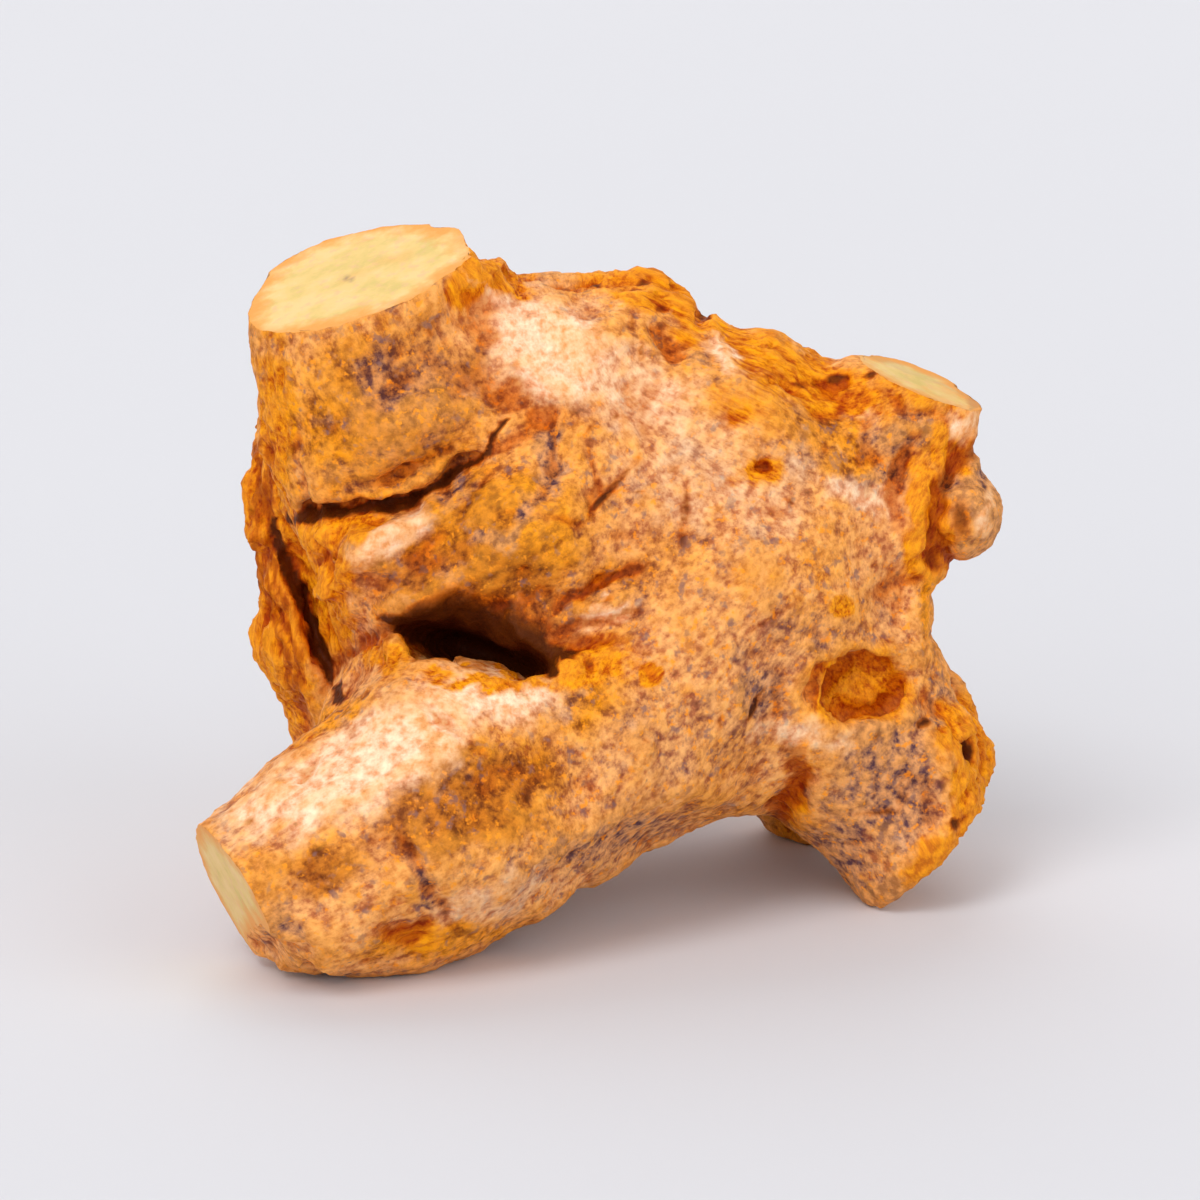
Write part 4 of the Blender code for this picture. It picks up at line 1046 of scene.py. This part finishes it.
def bark_material(settings):
    """Cork bark of a dried root, tumbled dry until its ridges shine: specks of grey cork on tan
    half a millimetre wide, pale rubbed heights with painted highlights, brown painted shade, painted
    shade that darkens hollows and cracks, and raw orange fibre where the bark is gone."""
    made, tree, shader, places = new_material("dried_root_bark")
    fibre = add(tree, "Attribute", out="Vector", attribute_name="fibre")
    grains, hues, blotches, grit, strands = (
        add(tree, "TexNoise", {
            "Vector": where, "W": seed, "Scale": lumps(size), "Detail": detail, "Roughness": rough,
        }, noise_dimensions="4D")
        for where, seed, size, detail, rough in (
            (places, 1, 0.27, 4, 0.62), (places, 2, 0.8, 3, 0.6), (places, 3, 2.2, 3, 0.6),
            (places, 4, 0.16, 3, 0.6), (fibre, 7, 0.16, 4, 0.65),
        )
    )
    crust, fine, broad, dirt = (
        add(tree, "Attribute", out="Fac", attribute_name=name)
        for name in ("crust", "fine_hollow", "broad_hollow", "dirt")
    )
    relief = add(tree, "MapRange", {0: crust, 1: -0.6, 2: 0.6, 3: -0.03, 4: 0.03})
    lift = add(tree, "MapRange", {0: blotches, 1: 0.35, 2: 0.65, 3: -0.03, 4: 0.03})
    lift = add(tree, "Math", {0: relief, 1: lift}, operation="ADD")
    specks = add(tree, "Mix", {0: 0.3, 2: grains, 3: strands})
    specks = add(tree, "MapRange", {0: specks, 1: 0.3, 2: 0.7, 3: 0.24, 4: 0.76}, clamp=False)
    specks = add(tree, "Math", {0: specks, 1: lift}, operation="ADD")
    fibrous = add(tree, "Mix", {0: 0.75, 2: specks, 3: strands})

    colour = add(tree, "ValToRGB", {0: specks}, tones(settings.bark_speck, settings.bark_ground))
    # shaded lays brown painted shade, and rubbed lays painted highlights over polished heights
    finishes = (
        ("golden", 0.60, 1.30, 1.0, specks, settings.golden_speck, settings.golden_ground),
        ("shaded", 0.70, 1.35, 0.85, specks, settings.shaded_speck, settings.shaded_ground),
        ("cork", 0.70, 1.20, 0.95, specks, settings.cork_speck, settings.cork_ground),
        ("rubbed", 0.62, 1.40, 1.0, specks, settings.rubbed_highlight_speck, settings.rubbed_highlight_ground),
        ("raw", 0.70, 1.20, 1.0, fibrous, settings.raw_speck, settings.raw_ground),
    )
    for name, low, high, strength, pattern, dark, light in finishes:
        painted = add(tree, "Attribute", out="Fac", attribute_name=name)
        broken = add(tree, "Math", {0: painted, 1: hues}, operation="ADD")
        share = add(tree, "MapRange", {0: broken, 1: low, 2: high, 3: 0, 4: strength})
        finish = add(tree, "ValToRGB", {0: pattern}, tones(dark, light))
        colour = add(tree, "Mix", {0: share, 6: colour, 7: finish}, out=2, data_type="RGBA")
        if name == "cork":
            colour = add_freckles(tree, places, colour, settings)

    # Worn, lighter heights, and painted shade: hollows and cracks are darkened, darkest in the deepest
    # cracks
    hollow = add(tree, "Math", {0: fine, 1: broad}, operation="ADD")
    breaks = add(tree, "MapRange", {0: hues, 1: 0.3, 2: 0.7, 3: -0.5, 4: 0.5})
    broken = add(tree, "Math", {0: hollow, 1: breaks}, operation="ADD")
    for pattern, low, high, strength, tint, blend in (
        (broken, -0.3, -1.4, 0.3, settings.worn_colour, "MIX"),
        (broken, 0.4, 1.7, 0.8, settings.crevice_shade_colour, "MULTIPLY"),
        (dirt, 0.05, 0.5, 0.9, settings.crevice_shade_colour, "MULTIPLY"),
        (dirt, 0.30, 0.85, 0.92, settings.crack_shade_and_dirt_colour, "MIX"),
    ):
        share = add(tree, "MapRange", {0: pattern, 1: low, 2: high, 3: 0, 4: strength})
        colour = add(tree, "Mix", {
            0: share, 6: colour, 7: (*tint, 1),
        }, out=2, data_type="RGBA", blend_type=blend)
    tree.links.new(colour, shader.inputs["Base Color"])

    shader.inputs["Specular IOR Level"].default_value = 0.07
    gloss = add(tree, "MapRange", {0: specks, 1: 0.40, 2: 0.62, 3: 0.62, 4: 0.44})
    tree.links.new(gloss, shader.inputs["Roughness"])
    bump = add(tree, "Bump", {"Strength": 0.8, "Distance": 0.10 * MM, "Height": grit})
    bump = add(tree, "Bump", {"Strength": 0.7, "Distance": 0.16 * MM, "Height": specks, "Normal": bump})
    tree.links.new(bump, shader.inputs["Normal"])
    return made


def flesh_material(settings):
    """Starchy flesh of the root, sliced by a knife: dense, smooth and faintly waxy, pale yellow with
    greyer clouds in its middle and a warm yellow rim under the bark."""
    made, tree, shader, places = new_material("knife_cut_root_flesh")
    cloud, grain = (
        add(tree, "TexNoise", {
            "Vector": places, "W": seed, "Scale": lumps(size), "Detail": detail, "Roughness": 0.6,
        }, noise_dimensions="4D")
        for seed, size, detail in ((5, 1.0, 4), (6, 0.30, 3))
    )
    from_bark, raw, dirt = (
        add(tree, "Attribute", out="Fac", attribute_name=name) for name in ("from_bark", "raw", "dirt")
    )
    middle = np.array(settings.flesh_middle)
    colour = add(tree, "ValToRGB", {0: cloud}, [
        (0.38, tuple(middle * (0.86, 0.90, 0.74))),
        (0.50, tuple(middle)),
        (0.62, tuple(middle * (1.06, 1.06, 1.35))),
    ])
    freckles = add(tree, "MapRange", {0: grain, 1: 0.52, 2: 0.66, 3: 0, 4: 0.5})
    wave = add(tree, "MapRange", {0: cloud, 1: 0.35, 2: 0.65, 3: -0.6, 4: 0.6})
    edge = add(tree, "Math", {0: from_bark, 1: wave}, operation="ADD")
    rim = add(tree, "MapRange", {0: edge, 1: 1.35, 2: 0.2, 3: 0, 4: 1.0})
    rim = add(tree, "Math", {0: rim, 1: raw}, operation="MAXIMUM")
    # Freckles, the rim under the bark, and the dark painted shade of nearby holes, with some dirt
    for share, tint in (
        (freckles, linear("#e9b184")), (rim, settings.flesh_rim), (dirt, settings.cork_speck),
    ):
        colour = add(tree, "Mix", {0: share, 6: colour, 7: (*tint, 1)}, out=2, data_type="RGBA")
    tree.links.new(colour, shader.inputs["Base Color"])
    shader.inputs["Roughness"].default_value = 0.5
    shader.inputs["Specular IOR Level"].default_value = 0.3
    bump = add(tree, "Bump", {"Strength": 0.4, "Distance": 0.08 * MM, "Height": grain})
    tree.links.new(bump, shader.inputs["Normal"])
    return made


def paper_material(settings):
    """Matt white paper of a photo table, rolled up at its edges: pale and without a pattern at this
    scale, apart from a faint cloudiness."""
    made, tree, shader, places = new_material("matt_paper")
    cloud = add(tree, "TexNoise", {"Vector": places, "Scale": lumps(60)})
    first = (*settings.floor_colour, 1)
    second = (*[part * 0.97 for part in settings.floor_colour], 1)
    colour = add(tree, "Mix", {0: cloud, 6: first, 7: second}, out=2, data_type="RGBA")
    tree.links.new(colour, shader.inputs["Base Color"])
    shader.inputs["Roughness"].default_value = 0.9
    return made


def make_stage(settings):
    """A round table whose edge rises without a seam into a wall."""
    bpy.ops.mesh.primitive_circle_add(
        vertices=TABLE_CORNERS, radius=settings.floor_radius, fill_type="NGON",
    )
    floor = bpy.context.object
    floor.name = "studio_floor"
    floor.data.name = floor.name
    bpy.ops.object.mode_set(mode="EDIT")
    bpy.ops.mesh.select_all(action="SELECT")
    rise = settings.wall_radius
    for number in range(CURVE_STEPS):
        low = math.pi / 2 * number / CURVE_STEPS
        high = math.pi / 2 * (number + 1) / CURVE_STEPS
        inner = settings.floor_radius + rise * math.sin(low)
        outer = settings.floor_radius + rise * math.sin(high)
        bpy.ops.mesh.select_mode(type="EDGE")
        if number == 0:
            bpy.ops.mesh.region_to_loop()
        bpy.ops.mesh.extrude_edges_move()
        bpy.ops.transform.resize(value=(outer / inner, outer / inner, 1))
        bpy.ops.transform.translate(value=(0, 0, rise * (math.cos(low) - math.cos(high))))
    bpy.ops.mesh.select_all(action="SELECT")
    bpy.ops.mesh.normals_make_consistent(inside=True)
    bpy.ops.object.mode_set(mode="OBJECT")
    bpy.ops.object.shade_smooth()
    floor.data.materials.append(paper_material(settings))


def add_lamp(name, coming_from, spread, strength):
    """A soft light that falls evenly over the whole table from one side."""
    lamp = bpy.data.lights.new(name, "SUN")
    lamp.angle = math.radians(spread)
    lamp.energy = strength
    holder = bpy.data.objects.new(name, lamp)
    bpy.context.scene.collection.objects.link(holder)
    holder.rotation_mode = "QUATERNION"
    holder.rotation_quaternion = (-Vector(coming_from)).to_track_quat("-Z", "Y")


def add_sky(settings):
    """Even white light from all sides."""
    world = bpy.data.worlds.new("studio_air")
    bpy.context.scene.world = world
    world.use_nodes = True
    air = world.node_tree.nodes["Background"]
    air.inputs["Color"].default_value = (1, 1, 1, 1)
    air.inputs["Strength"].default_value = settings.air_strength


def add_camera(settings):
    """The camera at the front look, and colours shown as they are."""
    lens = bpy.data.cameras.new("front_camera")
    lens.sensor_width = 36.0
    lens.lens = lens.sensor_width * VIEW_DISTANCE * MM / settings.frame_width
    lens.clip_start = 0.01
    lens.clip_end = 10
    camera = bpy.data.objects.new("front_camera", lens)
    bpy.context.scene.collection.objects.link(camera)
    camera.location = Vector(FRONT.eye) * MM
    camera.rotation_mode = "QUATERNION"
    camera.rotation_quaternion = Vector(-FRONT.to_viewer).to_track_quat("-Z", "Y")
    bpy.context.scene.camera = camera
    bpy.context.scene.view_settings.view_transform = "Standard"


def colour_setting(name, description, code):
    """A colour that the user can change, from its sRGB hex value."""
    return bpy.props.FloatVectorProperty(
        name=name, description=description, default=linear(code), min=0, max=1, subtype="COLOR",
    )


def number_setting(name, description, default, **limits):
    """A number that the user can change."""
    return bpy.props.FloatProperty(name=name, description=description, default=default, **limits)


def length_setting(name, description, default, **limits):
    """A length that the user can change, in metres."""
    return number_setting(name, description, default, precision=5, unit="LENGTH", **limits)


class RootSettings(bpy.types.PropertyGroup):
    """Sizes and colours of the root."""

    skin_size: length_setting(
        "Skin size", "Distance between the points of the fine skin", 0.287 * MM, min=0.1 * MM, max=2 * MM,
    )
    fold_depth: number_setting(
        "Fold depth", "Depth of cracks, folds and scars, as a share of the real one", 1.0, min=0, max=2,
    )
    crust_height: length_setting(
        "Crust height", "Height of the fine crust of the bark", 0.12 * MM, min=0, max=1 * MM,
    )
    strand_height: length_setting(
        "Strand height", "Height of the strands where the bark is gone", 0.19 * MM, min=0, max=1 * MM,
    )
    bark_speck: colour_setting("Bark specks", "Specks of the rosy bark", "#bd6c40")
    bark_ground: colour_setting("Bark ground", "Rosy bark between its specks", "#ffb66c")
    golden_speck: colour_setting("Golden specks", "Specks of the golden bark", "#98500c")
    golden_ground: colour_setting("Golden ground", "Golden bark between its specks", "#ff9e0a")
    # Painted shade, partly the bark's own brown
    shaded_speck: colour_setting("Shaded specks", "Specks of the brown bark", "#7c4018")
    shaded_ground: colour_setting("Shaded ground", "Brown bark between its specks", "#c87322")
    cork_speck: colour_setting("Cork specks", "Dark specks of the grey cork", "#583c46")
    cork_ground: colour_setting("Cork ground", "Grey cork between its specks", "#e29c62")
    cork_dot: colour_setting("Cork dots", "Fine dots of grey cork on the bark", "#84605c")
    bared_dot: colour_setting("Bared dots", "Fine orange dots where the bark has flaked off", "#ff9a24")
    # Painted highlights over the rubbed, polished heights
    rubbed_highlight_speck: colour_setting("Rubbed specks", "Specks of the rubbed heights", "#f2a878")
    rubbed_highlight_ground: colour_setting("Rubbed ground", "Rubbed heights between their specks", "#ffe2be")
    raw_speck: colour_setting("Raw fibre depths", "Depths of the raw fibre", "#b84c04")
    raw_ground: colour_setting("Raw fibre", "Raw fibre where the bark is gone", "#ffa410")
    worn_colour: colour_setting("Worn edges", "Edges and ridges that are worn", "#ffa834")
    # Painted shade: the tint that darkens hollows and cracks, and the darkest colour of the deepest
    # cracks, with some dirt
    crevice_shade_colour: colour_setting("Crevices", "How hollows tint the bark", "#deae64")
    crack_shade_and_dirt_colour: colour_setting("Dirt", "Dirt in the deepest cracks", "#431a04")
    flesh_middle: colour_setting("Flesh", "Middle of the cut faces", "#e9c471")
    flesh_rim: colour_setting("Flesh rim", "Rim of the cut faces under the bark", "#ee9c34")


class StageSettings(bpy.types.PropertyGroup):
    """Sizes, colours and lamps of the studio."""

    floor_colour: colour_setting("Floor colour", "Colour of the paper that the root lies on", "#dadadf")
    floor_radius: length_setting("Floor radius", "Radius of the flat part of the paper", 0.9)
    wall_radius: length_setting("Wall radius", "Radius of the curve that the paper rises in", 0.2)
    frame_width: length_setting("Frame width", "Width of the picture at the root's distance", 64 * MM)
    air_strength: number_setting("Air light", "Strength of the even light from all sides", 0.46, min=0)
    key_strength: number_setting("Key light", "Strength of the light from above on the left", 1.0, min=0)
    side_strength: number_setting("Side light", "Strength of the wide light from the right", 1.05, min=0)
    front_strength: number_setting("Front light", "Strength of the wide, low light in front", 1.3, min=0)
    back_strength: number_setting("Back light", "Strength of the light from above and behind", 0.9, min=0)


class MESH_OT_dried_root(bpy.types.Operator):
    """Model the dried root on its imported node"""

    bl_idname = "mesh.add_dried_root"
    bl_label = "Dried Root"

    def execute(self, context):
        settings = context.scene.root_settings
        piece = make_root(settings)
        piece.data.materials.append(bark_material(settings))
        piece.data.materials.append(flesh_material(settings))
        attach(piece, "root")
        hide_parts(NODE)
        return {"FINISHED"}


class SCENE_OT_root_studio(bpy.types.Operator):
    """Set up the paper, the lamps and the camera"""

    bl_idname = "scene.add_root_studio"
    bl_label = "Studio"

    def execute(self, context):
        settings = context.scene.stage_settings
        make_stage(settings)
        for name, (coming_from, spread) in LAMPS.items():
            add_lamp(name + "_light", coming_from, spread, getattr(settings, name + "_strength"))
        add_sky(settings)
        add_camera(settings)
        return {"FINISHED"}


class VIEW3D_PT_root(bpy.types.Panel):
    """Lists the root and the studio with their settings"""

    bl_label = "Notoginseng Root"
    bl_idname = "VIEW3D_PT_root"
    bl_space_type = "VIEW_3D"
    bl_region_type = "UI"
    bl_category = "Root"

    def draw(self, context):
        for settings, operator in (
            (context.scene.root_settings, MESH_OT_dried_root),
            (context.scene.stage_settings, SCENE_OT_root_studio),
        ):
            box = self.layout.box()
            for name in settings.__annotations__:
                box.prop(settings, name)
            box.operator(operator.bl_idname)


CLASSES = (RootSettings, StageSettings, MESH_OT_dried_root, SCENE_OT_root_studio, VIEW3D_PT_root)


def register():
    """Makes the settings, the operators and the panel known to Blender."""
    for kind in CLASSES:
        bpy.utils.register_class(kind)
    bpy.types.Scene.root_settings = bpy.props.PointerProperty(type=RootSettings)
    bpy.types.Scene.stage_settings = bpy.props.PointerProperty(type=StageSettings)


def unregister():
    """Takes them away again."""
    del bpy.types.Scene.stage_settings
    del bpy.types.Scene.root_settings
    for kind in reversed(CLASSES):
        bpy.utils.unregister_class(kind)


def main():
    """Makes the root and its studio."""
    register()
    for other in bpy.context.selected_objects:
        other.select_set(False)
    bpy.ops.mesh.add_dried_root()
    bpy.ops.scene.add_root_studio()


if __name__ == "__main__":
    main()
